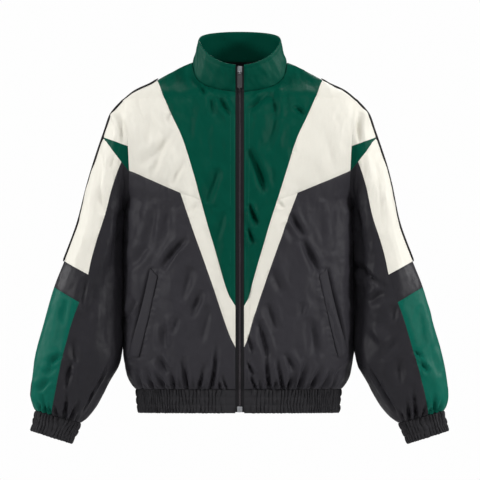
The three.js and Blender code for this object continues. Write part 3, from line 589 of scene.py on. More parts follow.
def banded_wall(
    surface: Surface,
    us: Array,
    vs: Array,
    lift: Lift,
    wall: float,
    closed: bool = False,
    step: tuple[float, float] = (1e-3, 1e-3),
) -> MeshData:
    """A wall along a band, its outer side shaped by lift and its two long edges rounded.

    Each cross section runs up the outer side, over the top in a half ellipse, down the plain inner side
    and under the bottom in another half ellipse.

    Args:
        surface: points of the band's outer face for u along it and v from 0 to 1 up it.
        us: places along the band.
        vs: places up it.
        lift: how far the outer side stands off the surface.
        wall: how far the inner side lies behind it.
        closed: whether the band closes on itself.
        step: small steps for the surface's differences.

    Returns:
        The closed wall.
    """
    u, v = np.meshgrid(us, vs, indexing="ij")
    point, up, normal = surface_frame(surface, u, v, step)
    rise = lift(u, v)
    outer = point + normal * rise[..., None]
    inner = (point - normal * wall)[:, ::-2]
    turn = np.radians(EDGE_TURNS)
    arcs = []
    for edge, sign, turns in ((-1, 1.0, turn), (0, -1.0, turn[::-1])):
        centre, radius = (rise[:, edge] - wall) / 2, (rise[:, edge] + wall) / 2
        off = centre[:, None] + radius[:, None] * np.cos(turns)
        reach = sign * EDGE_BULGE * radius[:, None] * np.sin(turns)
        at, out, rim = (values[:, edge, None] for values in (point, normal, up))
        arcs.append(at + out * off[..., None] + rim * reach[..., None])
    return loft(np.concatenate((outer, arcs[0], inner, arcs[1]), axis=1), True, closed)


def repeated(points: Array, quads: Array, centres: Array, axes: Array) -> MeshData:
    """Copies a small closed form to many places.

    Args:
        points: the form's points.
        quads: its faces.
        centres: where each copy goes.
        axes: each copy's three directions, as (copies, 3, 3), one direction to a row.

    Returns:
        All the copies as one mesh.
    """
    placed = centres[:, None] + np.einsum("pk,ckx->cpx", points, axes)
    faces = (np.arange(len(centres)) * len(points))[:, None, None] + quads[None]
    weave = np.tile(points[:, :2], (len(centres), 1))
    return MeshData(placed.reshape(-1, 3), NO_TRIANGLES, faces.reshape(-1, 4), weave)


def rounded_bar(length: float, width: float, height: float) -> tuple[Array, Array]:
    """A six-sided bar along its first axis, drawn in at both ends.

    Args:
        length: along the first axis.
        width: along the second.
        height: along the third.

    Returns:
        Points and quads.
    """
    along = np.array([-1.0, -0.72, 0.0, 0.72, 1.0])
    girth = np.array([0.45, 0.9, 1.0, 0.9, 0.45])
    sides = 6
    turn = np.arange(sides) * 2 * np.pi / sides
    x = np.repeat(along[:, None] * length / 2, sides, axis=1)
    y = girth[:, None] * np.cos(turn) * width / 2
    z = girth[:, None] * np.sin(turn) * height / 2
    grid = np.arange(x.size).reshape(x.shape)
    grid = np.concatenate((grid, grid[:, :1]), axis=1)
    low = np.array([[0, 3, 2, 1], [0, 5, 4, 3]])
    high = np.array([[0, 1, 2, 3], [0, 3, 4, 5]]) + grid[-1, 0]
    corners = (grid[:-1, :-1], grid[:-1, 1:], grid[1:, 1:], grid[1:, :-1])
    quads = np.concatenate((np.stack(corners, axis=-1).reshape(-1, 4), low, high))
    return xyz(x, y, z).reshape(-1, 3), quads


class Sheet:
    """A surface's triangles over a grid of its two parameters, cut along seams.

    A point near a seam slides onto it; a triangle that still crosses it is split where it crosses.
    """

    SLIDE = 1.2
    SETTLED = 0.35
    STEP = 0.05
    SLIDES = 4
    FARTHEST = 1.6
    ARRIVED = 0.02
    HALVINGS = 22

    def __init__(self, surface: Surface, us: Array, vs: Array, girth: float, outward: float) -> None:
        """Lays the grid.

        Args:
            surface: points for the two parameters, the second in millimetres.
            us: the first parameter's places, from 0 to 1.
            vs: the second parameter's places.
            girth: millimetres that the first parameter covers.
            outward: 1 or -1, so that the normals, du cross dv, point out.
        """
        self.surface = surface
        self.outward = outward
        self.scale = np.array([girth, 1.0])
        u, v = np.meshgrid(us, vs)
        self.params = np.stack((u.ravel(), v.ravel()), axis=-1)
        grid = np.arange(u.size).reshape(u.shape)
        a, b, c, d = grid[:-1, :-1], grid[:-1, 1:], grid[1:, :-1], grid[1:, 1:]
        halves = (np.stack((a, b, d), axis=-1), np.stack((a, d, c), axis=-1))
        self.triangles = np.concatenate([half.reshape(-1, 3) for half in halves])
        self.fixed = np.zeros(len(self.params), bool)

    def at(self, params: Array) -> Array:
        """Points of the surface for rows of parameters."""
        return self.surface(params[:, 0], params[:, 1])

    def middles(self) -> Array:
        """Each triangle's middle on the surface."""
        return self.at(self.params[self.triangles].mean(axis=1))

    def _slide(self, loose: Array, side: Measure) -> Array:
        """Moves points down the seam's distance until it is 0.

        Args:
            loose: the points' indices.
            side: signed distance from the seam.

        Returns:
            Which of the points arrived.
        """
        start = self.params[loose].copy()
        at_edge = (start[:, 0] == 0) | (start[:, 0] == 1)
        moved = start * self.scale
        for _ in range(self.SLIDES):
            here = side(self.at(moved / self.scale))
            past_middle = moved[:, 0] > self.scale[0] / 2
            steps = np.stack((np.where(past_middle, -self.STEP, self.STEP), np.full(len(moved), self.STEP)))
            slope = np.zeros_like(moved)
            for axis, inward in enumerate(steps):
                ahead = moved.copy()
                ahead[:, axis] += inward
                slope[:, axis] = (side(self.at(ahead / self.scale)) - here) / inward
            slope[at_edge, 0] = 0
            size = np.maximum((slope**2).sum(axis=1), LEAST_SLOPE)
            moved = moved - (here / size)[:, None] * slope
            moved[:, 0] = np.clip(moved[:, 0], 0, self.scale[0])
        near = np.linalg.norm(moved - start * self.scale, axis=1) < self.FARTHEST * self.SLIDE
        arrived = near & (np.abs(side(self.at(moved / self.scale))) < self.ARRIVED)
        self.params[loose[arrived]] = moved[arrived] / self.scale
        return arrived

    def cut(self, side: Measure, where: Measure | None = None) -> None:
        """Splits triangles along the line where a signed distance is 0.

        Args:
            side: the distance, from points of the surface.
            where: picks the triangles to cut by their middles, or None for all.
        """
        picked = np.ones(len(self.triangles), bool) if where is None else where(self.middles())
        chosen = self.triangles[picked]
        used = np.unique(chosen)
        value = np.zeros(len(self.params))
        value[used] = side(self.at(self.params[used]))
        loose = used[(np.abs(value[used]) < self.SLIDE) & ~self.fixed[used]]
        arrived = loose[self._slide(loose, side)]
        value[used] = side(self.at(self.params[used]))
        value[arrived] = 0
        self.fixed[arrived] = True
        value[used[(np.abs(value[used]) < self.SETTLED) & self.fixed[used]]] = 0
        sign = np.sign(value[chosen])
        crossed = (sign.max(axis=1) > 0) & (sign.min(axis=1) < 0)
        halves = self._split(chosen[crossed], sign[crossed], value, side)
        self.triangles = np.concatenate((self.triangles[~picked], chosen[~crossed], halves))

    def _split(self, triangles: Array, sign: Array, value: Array, side: Measure) -> Array:
        """Splits crossed triangles, turned so that the lone vertex, or the one on the seam, comes first.

        Args:
            triangles: the crossed triangles.
            sign: the sign of the distance at their corners.
            value: the distance at every point.
            side: the distance's function.

        Returns:
            The triangles that replace them.
        """
        if not len(triangles):
            return NO_TRIANGLES
        touching = (sign == 0).any(axis=1)
        alone = np.where(touching[:, None], sign == 0, sign == -np.sign(sign.sum(axis=1))[:, None])
        order = (np.argmax(alone, axis=1)[:, None] + np.arange(3)) % 3
        a, b, c = np.take_along_axis(triangles, order, axis=1).T
        crossed = ((b, c, touching), (a, b, ~touching), (a, c, ~touching))
        ends = np.concatenate([np.stack((p[which], q[which]), axis=1) for p, q, which in crossed])
        pairs, place = np.unique(np.sort(ends, axis=1), axis=0, return_inverse=True)
        low, high = self.params[pairs[:, 0]].copy(), self.params[pairs[:, 1]].copy()
        for _ in range(self.HALVINGS):
            middle = (low + high) / 2
            same = (side(self.at(middle)) * value[pairs[:, 0]] > 0)[:, None]
            low, high = np.where(same, middle, low), np.where(same, high, middle)
        place = place.ravel() + len(self.params)
        self.params = np.concatenate((self.params, (low + high) / 2))
        self.fixed = np.concatenate((self.fixed, np.ones(len(pairs), bool)))
        count, rest = int(touching.sum()), int((~touching).sum())
        p, q, r = place[:count], place[count : count + rest], place[count + rest :]
        on, up, down = a[touching], b[touching], c[touching]
        lone, first, second = a[~touching], b[~touching], c[~touching]
        parts = ((on, up, p), (on, p, down), (lone, q, r), (q, first, second), (q, second, r))
        return np.concatenate([np.stack(part, axis=-1) for part in parts])


@dataclass
class Panel:
    """One cut piece of a sheet: its mesh and the rectangle and area that it was cut from."""

    data: MeshData
    width: float
    length: float
    area: float


def rim_edges(faces: Array, count: int) -> Array:
    """The directed edges that only one of the faces has.

    Args:
        faces: triangles.
        count: how many points they share.

    Returns:
        The edges, each with its face on its left.
    """
    directed = np.concatenate([faces[:, [k, (k + 1) % 3]] for k in range(3)])
    key = directed[:, 0] * count + directed[:, 1]
    twin = directed[:, 1] * count + directed[:, 0]
    return directed[~np.isin(key, twin)]


def doubled_areas(points: Array, faces: Array) -> Array:
    """Each triangle's cross product, whose size is twice its area."""
    a, b, c = (points[faces[:, k]] for k in range(3))
    return np.cross(b - a, c - a)


def rectangle(spread: Array) -> Array:
    """The long and the short side of the least rectangle round points in a plane."""
    turns = np.radians(np.arange(0, 90, 2))
    axes = np.stack(((np.cos(turns), np.sin(turns)), (-np.sin(turns), np.cos(turns))))
    extents = np.ptp(np.einsum("px,axt->tpa", spread, axes), axis=1)
    return np.sort(extents[np.argmin(extents.prod(axis=1))])[::-1]


def walled(sheet: Sheet, triangles: Array, lift: Lift) -> Panel:
    """Gives some of a sheet's triangles a wall, with edges drawn in a little.

    The outer points stand off the surface by lift along its normal, and the inner ones lie behind them.

    Args:
        sheet: the cut sheet.
        triangles: the piece's triangles.
        lift: how far the cloth stands off, from the parameters and points.

    Returns:
        The piece.
    """
    used, corners = np.unique(triangles, return_inverse=True)
    faces = corners.reshape(-1, 3)
    params = sheet.params[used]
    step = (FINE_STEP / sheet.scale[0], FINE_STEP)
    base, _, normal = surface_frame(sheet.surface, params[:, 0], params[:, 1], step)
    normal = normal * sheet.outward
    outer = base + normal * lift(params, base)[:, None]
    facing = doubled_areas(base, faces)
    if np.sum(facing * normal[faces[:, 0]]) < 0:
        faces = faces[:, ::-1]
    count = len(used)
    edges = rim_edges(faces, count)
    along = unit(outer[edges[:, 1]] - outer[edges[:, 0]])
    drawn = np.zeros_like(outer)
    for end in range(2):
        np.add.at(drawn, edges[:, end], np.cross(normal[edges[:, end]], along))
    size = np.maximum((drawn**2).sum(axis=1), LEAST_DRAWN)
    outer = outer + drawn * (DRAWN_IN / size)[:, None]
    inner = outer - normal * CLOTH_WALL
    rim = np.stack((edges[:, 1], edges[:, 0], edges[:, 0] + count, edges[:, 1] + count), axis=-1)
    skins = np.concatenate((faces, faces[:, ::-1] + count))
    spread = params * sheet.scale
    area = float(np.linalg.norm(facing, axis=1).sum() / 2)
    stretch = math.sqrt(area / (np.abs(doubled_areas(spread, faces)).sum() / 2))
    length, width = rectangle(spread) * stretch
    data = MeshData(np.concatenate((outer, inner)), skins, rim, np.tile(spread, (2, 1)))
    return Panel(data, width, length, area)


# Creases


class Fold(NamedTuple):
    """A crease between two points of the front view: a trough between two low ridges.

    A rooted one starts sharp and deep at a gathered seam and opens out; the others fade at both ends.
    A negative depth makes it a ridge.
    """

    x0: float
    z0: float
    x1: float
    z1: float
    depth: float
    width: float
    bend: float = 0.0
    rooted: bool = False

    def relief(self, x: Array, z: Array) -> Array:
        """Depth times (0.4 ridge - trough), each a hump across the crease's line.

        Args:
            x: places in the front view.
            z: their heights.

        Returns:
            How far the cloth stands off there.
        """
        dx, dz = self.x1 - self.x0, self.z1 - self.z0
        length = math.hypot(dx, dz)
        t = ((x - self.x0) * dx + (z - self.z0) * dz) / length**2
        inside = np.clip(t, 0, 1)
        off = ((x - self.x0) * dz - (z - self.z0) * dx) / length - 4 * self.bend * inside * (1 - inside)
        if self.rooted:
            strength, spread = (1 - inside) ** 0.8, self.width * (0.42 + 0.6 * inside)
            gain, near_side, sharpness = 2.7, 1.0, 1.35
        else:
            strength, spread = np.sin(np.pi * inside) ** 0.7, self.width
            gain, near_side, sharpness = 3.3, 0.85, 1.7
        strength = strength * bell((t - inside) * length, self.width)
        spread = spread * np.where(off * self.depth > 0, 1.35, near_side)
        trough = np.exp(-((np.abs(off) / spread) ** sharpness))
        ridge = bell(np.abs(off) - 1.8 * spread, 1.1 * spread)
        return strength * self.depth * (0.4 * ridge - trough) * gain


def creases(*rows: Sequence[float], rooted: bool = False) -> tuple[Fold, ...]:
    """Makes creases from rows of numbers, all of them rooted or none."""
    return tuple(Fold(*row, rooted=rooted) for row in rows)


def folded(folds: Iterable[Fold], x: Array, z: Array) -> Array:
    """Sums the relief of creases at places in the front view."""
    return sum((fold.relief(x, z) for fold in folds), np.zeros_like(x))


FRONT_FOLDS = creases(
    (-80, -32, -68, -58, 1.4, 4), (-57, -58, -50, -100, 1.2, 5), (-39, -32, -14, -56, 2.4, 4.5),
    (-38, -64, -18, -102, 2.0, 4.5), (-90, -50, -104, -165, 1.1, 12), (-70, -110, -58, -195, 1.0, 13),
    (-42, -205, -64, -276, 2.0, 9), (-30, -290, -44, -350, 1.2, 7), (-131, -128, -174, -222, 1.8, 8, 5),
    (-146, -149, -198, -204, 1.5, 8), (-108, -186, -136, -242, 1.6, 7), (-137, -92, -142, -114, 1.0, 5),
    (-180, -100, -188, -200, 1.0, 11), (-84, -275, -100, -300, 1.0, 5), (-168, -278, -186, -372, 1.6, 9),
    (-138, -270, -150, -352, 1.2, 10), (-197, -268, -214, -366, 1.2, 9),
    (-104, -345, -156, -409, 3.2, 6, 4), (-186, -361, -216, -408, 1.6, 8),
    (-206, -468, -223, -508, 2.2, 4), (-97, -402, -115, -474, 2.2, 11), (-74, -448, -98, -506, 2.2, 8),
    (-60, -480, -75, -551, 2.0, 8), (-123, -502, -133, -536, 1.8, 6), (-150, -516, -151, -562, 1.9, 5),
    (-162, -580, -143, -614, 2.8, 6), (22, -52, 54, -32, 1.8, 4), (17, -88, 62, -50, 1.8, 6),
    (66, -46, 73, -104, 2.0, 9), (73, -96, 55, -172, 1.9, 11), (110, -79, 132, -96, 1.5, 4),
    (18, -166, 54, -256, 3.0, 7, -4), (20, -275, 42, -320, 2.4, 5), (18, -323, 34, -356, 2.0, 5),
    (104, -160, 113, -188, 1.0, 6), (140, -180, 163, -240, 0.9, 11), (80, -270, 92, -286, 1.2, 4),
    (168, -110, 190, -215, 1.1, 12), (106, -293, 134, -342, 2.8, 6), (130, -346, 161, -414, 3.2, 6, -3),
    (168, -272, 170, -370, 1.3, 12), (196, -262, 214, -366, 1.2, 10), (92, -313, 122, -352, 1.4, 6),
    (70, -405, 92, -458, 2.0, 9), (61, -474, 81, -530, 2.5, 8), (43, -506, 63, -580, 3.6, 7),
    (18, -536, 36, -574, 2.0, 5), (12, -588, 35, -618, 2.4, 4), (133, -471, 128, -502, 1.5, 6),
    (146, -502, 157, -577, 2.2, 9), (111, -611, 96, -574, 2.6, 5.5),
)

HEM_FOLDS = creases(
    (-195, -645, -218, -592, 4.4, 5.5), (-173, -645, -189, -602, 4.2, 5.5),
    (-149, -645, -169, -610, 4.6, 5.5), (-131, -645, -137, -600, 4.6, 5.5),
    (-105, -645, -116, -580, 5.0, 6), (-82, -645, -70, -592, 4.6, 6), (-58, -645, -48, -545, 5.6, 6.5, 3),
    (-40, -645, -43, -624, 3.4, 4), (-27, -645, -37, -618, 3.6, 4), (37, -645, 17, -607, 4.0, 4.5),
    (46, -645, 45, -628, 3.0, 4), (64, -645, 58, -560, 5.6, 6.5, -2), (75, -645, 76, -626, 3.2, 4),
    (91, -645, 77, -580, 4.6, 5.5), (100, -645, 112, -608, 4.6, 5.5), (121, -645, 141, -582, 5.0, 6),
    (146, -645, 170, -598, 4.8, 5.5), (168, -645, 191, -608, 4.4, 5), (186, -645, 209, -600, 4.2, 5),
    rooted=True,
)

SLEEVE_FOLDS = creases(
    (-236, -78, -229, -158, 3.4, 6), (-253, -98, -249, -142, 1.4, 6), (-279, -160, -281, -248, 1.6, 9),
    (-281, -238, -274, -296, 1.5, 8), (-251, -180, -259, -208, 1.3, 5), (-262, -300, -298, -400, 1.2, 12),
    (-304, -422, -318, -489, 2.0, 6), (-348, -468, -353, -514, 1.7, 7),
    (-351, -578, -380, -600, 2.4, 5, 3), (-366, -600, -388, -618, 1.4, 5),
    (-380, -626, -402, -652, 2.0, 5), (-333, -544, -326, -602, 2.2, 8), (-288, -438, -312, -542, 1.6, 12),
    (-337, -588, -347, -648, 3.0, 6), (-258, -390, -285, -502, 1.3, 14),
    (-261, -596, -315, -698, 1.9, 2.0), (235, -76, 239, -156, 3.4, 6), (274, -165, 281, -250, 1.7, 10),
    (281, -240, 294, -332, 1.6, 10), (254, -168, 261, -222, -1.2, 7), (228, -392, 268, -428, 1.8, 8),
    (271, -417, 288, -446, 2.0, 4), (262, -413, 276, -436, 1.6, 3.5), (285, -424, 297, -446, 1.5, 3.5),
    (261, -473, 294, -450, 2.4, 8), (316, -476, 312, -514, 1.6, 7), (262, -520, 300, -560, -1.6, 9),
    (290, -585, 316, -540, 1.4, 9), (322, -582, 320, -640, 2.2, 9), (352, -568, 367, -584, 2.2, 4),
    (361, -590, 379, -612, 2.4, 4.5), (365, -478, 373, -562, 1.3, 9), (385, -560, 398, -620, 1.4, 8),
    (261, -596, 315, -698, 1.9, 2.0),
)

CUFF_FOLDS = creases(
    (-398, -692, -402, -666, 2.8, 3.5), (-387, -695, -397, -652, 3.8, 4.5),
    (-378, -698, -383, -666, 3.2, 4), (-365, -701, -371, -670, 3.0, 4),
    (-351, -705, -344, -640, 4.6, 5.5), (-341, -708, -318, -664, 4.0, 5),
    (-329, -711, -320, -684, 2.6, 3.5), (398, -692, 400, -664, 2.8, 4), (389, -695, 386, -652, 4.0, 4.5),
    (378, -698, 380, -674, 2.8, 3.5), (365, -701, 371, -666, 3.2, 4), (352, -705, 345, -634, 5.0, 6),
    (339, -708, 335, -664, 4.0, 4.5), (328, -711, 318, -682, 2.8, 3.5),
    rooted=True,
)

BACK_FOLDS = creases(
    (-58, -70, -122, -160, 1.6, 10), (70, -76, 112, -176, 1.6, 10), (-150, -180, -192, -262, 1.9, 8),
    (148, -168, 196, -242, 1.8, 8), (-28, -190, -46, -330, 1.3, 14), (42, -215, 28, -352, 1.3, 14),
    (-102, -300, -80, -424, 1.8, 11), (98, -306, 82, -444, 1.8, 11), (-176, -376, -148, -484, 2.0, 9),
    (180, -366, 150, -474, 2.0, 9), (-38, -430, -64, -544, 2.2, 9), (18, -446, 38, -562, 2.2, 9),
    (112, -480, 122, -572, 2.2, 8), (-120, -500, -104, -584, 2.2, 8), (-196, -520, -206, -590, 1.6, 7),
    (198, -510, 208, -592, 1.6, 7),
)
BACK_ROOTS = (
    -196, -177, -157, -138, -115, -98, -76, -59, -38, -20, 2, 21, 43, 60, 81, 99, 119, 136, 158, 176, 197,
)
SLEEVE_BACK_FOLDS = creases(
    (236, -90, 240, -170, 2.6, 7), (268, -170, 290, -260, 1.5, 11), (258, -300, 300, -372, 1.7, 10),
    (268, -430, 330, -408, 2.4, 7), (262, -462, 340, -448, 2.8, 7, 4), (276, -500, 350, -500, 2.2, 8, -4),
    (350, -520, 372, -600, 1.7, 9), (300, -540, 330, -630, 1.8, 9), (356, -610, 372, -668, 2.2, 6),
)
SLEEVE_ROOTS = (328, 339, 351, 364, 377, 388, 399)


def rooted_folds(
    roots: Sequence[float], seam: Callable[[float], float], seed: int, lean: float
) -> list[Fold]:
    """Gathers for a hidden side, uneven in length, depth and lean.

    Args:
        roots: where they leave the seam.
        seam: the seam's height at a root.
        seed: fixes the draw.
        lean: how far the tips lean outwards for each millimetre from the middle.

    Returns:
        The gathers.
    """
    draw = np.random.default_rng(seed)
    middle = (roots[0] + roots[-1]) / 2
    made = []
    for x in roots:
        reach = draw.uniform(26, 92)
        tip = x + lean * (x - middle) + draw.uniform(-7, 7)
        depth, width = draw.uniform(3.4, 5.2), draw.uniform(4.2, 6.4)
        made.append(Fold(x, seam(x), tip, seam(x) + reach, depth, width, rooted=True))
    return made


# Finishes


class Socket:
    """A value in a shader. Python's operators on it add Math nodes."""

    def __init__(self, shader: Shader, source: bpy.types.NodeSocket) -> None:
        """Wraps a socket of a shader's node."""
        self.shader = shader
        self.source = source

    def _maths(self, operation: str, *others: Socket | float) -> Socket:
        """Adds a Math node on this value and others."""
        values = dict(enumerate((self, *others)))
        return self.shader.node("ShaderNodeMath", {"operation": operation}, values)

    def __add__(self, other: Socket | float) -> Socket:
        """Sum."""
        return self._maths("ADD", other)

    __radd__ = __add__

    def __mul__(self, other: Socket | float) -> Socket:
        """Product."""
        return self._maths("MULTIPLY", other)

    __rmul__ = __mul__

    def __sub__(self, other: Socket | float) -> Socket:
        """Difference."""
        return self._maths("SUBTRACT", other)

    def __rsub__(self, other: float) -> Socket:
        """Difference from a number."""
        return self * -1.0 + other

    def sine(self) -> Socket:
        """Sine."""
        return self._maths("SINE")


class Shader:
    """A material's node tree, built by one method."""

    def __init__(self, name: str) -> None:
        """Starts a material with an empty tree.

        Args:
            name: the material's name.
        """
        self.material = bpy.data.materials.new(name)
        self.material.use_nodes = True
        self.tree = self.material.node_tree
        self.tree.nodes.clear()
        self.place = self.node("ShaderNodeTexCoord", None, None, "Object")

    def node(
        self,
        kind: str,
        settings: Mapping[str, Any] | None = None,
        inputs: Mapping[str | int, Any] | None = None,
        output: str | int = 0,
    ) -> Socket | None:
        """Adds a node.

        Args:
            kind: the node's type.
            settings: its properties, set first.
            inputs: a value or a Socket for each input, by name or number.
            output: the output to return, by name or number.

        Returns:
            The output as a Socket, or None for a node that has none.
        """
        node = self.tree.nodes.new(kind)
        for key, value in (settings or {}).items():
            setattr(node, key, value)
        for key, value in (inputs or {}).items():
            if isinstance(value, Socket):
                self.tree.links.new(value.source, node.inputs[key])
            else:
                node.inputs[key].default_value = value
        return Socket(self, node.outputs[output]) if node.outputs else None

    def weave(self, pitch: float) -> Iterable[Socket]:
        """The cloth coordinate's two parts, as angles that turn once in pitch millimetres."""
        cloth = self.node("ShaderNodeUVMap", {"uv_map": "weave"}, None, "UV")
        parts = [self.node("ShaderNodeSeparateXYZ", None, {"Vector": cloth}, axis) for axis in "XY"]
        return (part * (2 * math.pi / (pitch * MM)) for part in parts)

    def noise(self, size: float, detail: float = 2.0) -> Socket:
        """Noise whose features are about size metres across."""
        inputs = {"Vector": self.place, "Scale": 1 / size, "Detail": detail}
        return self.node("ShaderNodeTexNoise", None, inputs)

    def tints(self, share: Socket, colour: Sequence[float], spread: float) -> Socket:
        """A colour that goes from darker to lighter by spread as share goes from 0 to 1."""
        dark, light = ([c * f for c in colour] + [1.0] for f in (1 - spread, 1 + spread))
        return self.node("ShaderNodeMix", {"data_type": "RGBA"}, {0: share, 6: dark, 7: light}, 2)

    def bump(self, height: Socket, depth: float, under: Socket | None = None) -> Socket:
        """Turns a height from 0 to 1 into relief depth metres deep, over another normal if given."""
        inputs: dict[str | int, Any] = {"Height": height, "Distance": depth, "Strength": 1.0}
        if under:
            inputs["Normal"] = under
        return self.node("ShaderNodeBump", None, inputs, "Normal")

    def finish(self, inputs: Mapping[str | int, Any]) -> bpy.types.Material:
        """Ends the tree with a Principled shader and returns the material."""
        surface = self.node("ShaderNodeBsdfPrincipled", None, inputs)
        self.node("ShaderNodeOutputMaterial", None, {"Surface": surface})
        return self.material


@dataclass(frozen=True)
class Nylon:
    """Thin plain-woven nylon: faint threads, fine crinkles, a soft sheen."""

    name: str
    colour: tuple[float, float, float]
    roughness: float = 0.46
    gloss: float = 0.05
    thread: float = 0.5
    crinkle: float = 0.3

    def material(self) -> bpy.types.Material:
        """Builds the material."""
        shader = Shader(self.name)
        across, along = shader.weave(self.thread)
        threads = across.sine() * along.sine() * 0.5 + 0.5
        crinkles = shader.noise(0.011, 3.0)
        patches = shader.noise(0.07)
        relief = shader.bump(crinkles, self.crinkle * MM)
        return shader.finish(
            {
                "Base Color": shader.tints(patches * 0.7 + threads * 0.3, self.colour, 0.07),
                "Roughness": crinkles * 0.1 + (self.roughness - 0.05),
                "Specular IOR Level": self.gloss,
                "Normal": shader.bump(threads, 0.025 * MM, relief),
            }
        )


@dataclass(frozen=True)
class Knit:
    """Matt covered elastic, thread or woven tape, with a fine slanted grain."""

    name: str
    colour: tuple[float, float, float]
    roughness: float = 0.75
    grain: float = 1.1
    depth: float = 0.12
    gloss: float = 0.2

    def material(self) -> bpy.types.Material:
        """Builds the material."""
        shader = Shader(self.name)
        across, along = shader.weave(self.grain)
        slants = (across + along).sine() * (across - along).sine() * 0.5 + 0.5
        fuzz = shader.noise(0.003, 3.0)
        return shader.finish(
            {
                "Base Color": shader.tints(fuzz * 0.6 + slants * 0.4, self.colour, 0.22),
                "Roughness": fuzz * 0.12 + (self.roughness - 0.06),
                "Specular IOR Level": self.gloss,
                "Normal": shader.bump(slants * 0.6 + fuzz * 0.4, self.depth * MM),
            }
        )


@dataclass(frozen=True)
class Metal:
    """Satin metal or enamel with faint wear in its gloss."""

    name: str
    colour: tuple[float, float, float]
    roughness: float = 0.3
    metallic: float = 1.0

    def material(self) -> bpy.types.Material:
        """Builds the material."""
        shader = Shader(self.name)
        wear = shader.noise(0.0015, 4.0)
        return shader.finish(
            {
                "Base Color": shader.tints(wear, self.colour, 0.12),
                "Roughness": wear * 0.2 + (self.roughness - 0.1),
                "Metallic": self.metallic,
                "Normal": shader.bump(wear, 0.03 * MM),
            }
        )


Finish = Nylon | Knit | Metal

GREEN = Nylon("green_nylon", (0.0008, 0.063, 0.040), gloss=0.04)
FOREARM = Nylon("forearm_nylon", (0.0035, 0.105, 0.073))
CREAM = Nylon("cream_nylon", (0.80, 0.775, 0.695), crinkle=0.25)
CHARCOAL = Nylon("charcoal_nylon", (0.0315, 0.030, 0.0355), roughness=0.5, gloss=0.12)
# The charcoal nylon darkened for the sleeves' fronts: painted shade, standing in for the shade beside the
# body.
SHADE_PAINTED_CHARCOAL = Nylon("sleeve_nylon", (0.0225, 0.0215, 0.0255), gloss=0.12)
ELASTIC = Knit("ribbed_elastic", (0.0205, 0.0198, 0.0225))
TAPE = Knit("zip_tape", (0.0055, 0.005, 0.0065), 0.7, 0.9, 0.08)
CORD = Knit("piping_cord", (0.012, 0.011, 0.013), 0.55, 1.4, 0.1)
THREADS = {
    "green": Knit("green_thread", (0.008, 0.125, 0.085), 0.6, 0.8, 0.05),
    "cream": Knit("cream_thread", (0.84, 0.81, 0.73), 0.6, 0.8, 0.05),
    "charcoal": Knit("charcoal_thread", (0.060, 0.058, 0.064), 0.6, 0.8, 0.05),
}
COIL = Metal("zip_coil", (0.044, 0.036, 0.043), 0.38, 0.0)
SATIN = Metal("satin_metal", (0.40, 0.41, 0.43), 0.45)
ENAMEL = Metal("black_enamel", (0.012, 0.012, 0.014), 0.32, 0.0)


def placed(name: str, data: bpy.types.ID) -> bpy.types.Object:
    """Puts an object with a mesh, a light or a camera into the scene."""
    made = bpy.data.objects.new(name, data)
    bpy.context.scene.collection.objects.link(made)
    return made


class Cut(NamedTuple):
    """A kind of cut piece: its cloth, slot, how it is held and what it hangs from."""

    finish: Finish
    slot: str
    held: str = "hung"
    rests: tuple[str, ...] = ("back",)


CUTS = {
    "front_green": Cut(GREEN, "green_cloth", "hung", ("collar",)),
    "front_chest": Cut(CREAM, "cream_cloth"),
    "front_chevron": Cut(CREAM, "cream_cloth"),
    "front_lower": Cut(CHARCOAL, "charcoal_cloth", "gathered", ("hem_band",)),
    "back": Cut(CHARCOAL, "charcoal_cloth", "gathered", ("hem_band", "collar")),
    "sleeve_cap": Cut(CREAM, "cream_cloth"),
    "sleeve_insert": Cut(GREEN, "green_cloth"),
    "sleeve_stripe": Cut(CREAM, "cream_cloth"),
    # The sleeves' fronts take the darkened charcoal: painted shade.
    "sleeve_front": Cut(SHADE_PAINTED_CHARCOAL, "charcoal_cloth", "gathered"),
    "sleeve_forearm": Cut(FOREARM, "forearm_cloth", "gathered"),
    "sleeve_back": Cut(CHARCOAL, "charcoal_cloth", "gathered"),
}
SHOULDER_DROP = 7.0
SHOULDER_OUT = 4.6
LEFT_DRAWN_IN = 5.2


def settled(points: Array) -> Array:
    """Rounds both shoulders and draws the left side in below the chest, where it hangs narrower."""
    x, z = points[:, 0], points[:, 2]
    beyond = ramp(9, 34, x) * ramp(-190, -330, z)
    forearm = ramp(270, 330, x) * ramp(-520, -660, z)
    drop = SHOULDER_DROP * bell(np.abs(x) - 237, 17) * ramp(-112, -78, z)
    out = SHOULDER_OUT * bell(z + 92, 27) * ramp(222, 246, np.abs(x)) * np.sign(x)
    return points + xyz(out - LEFT_DRAWN_IN * beyond * (1 - forearm), 0, -drop)


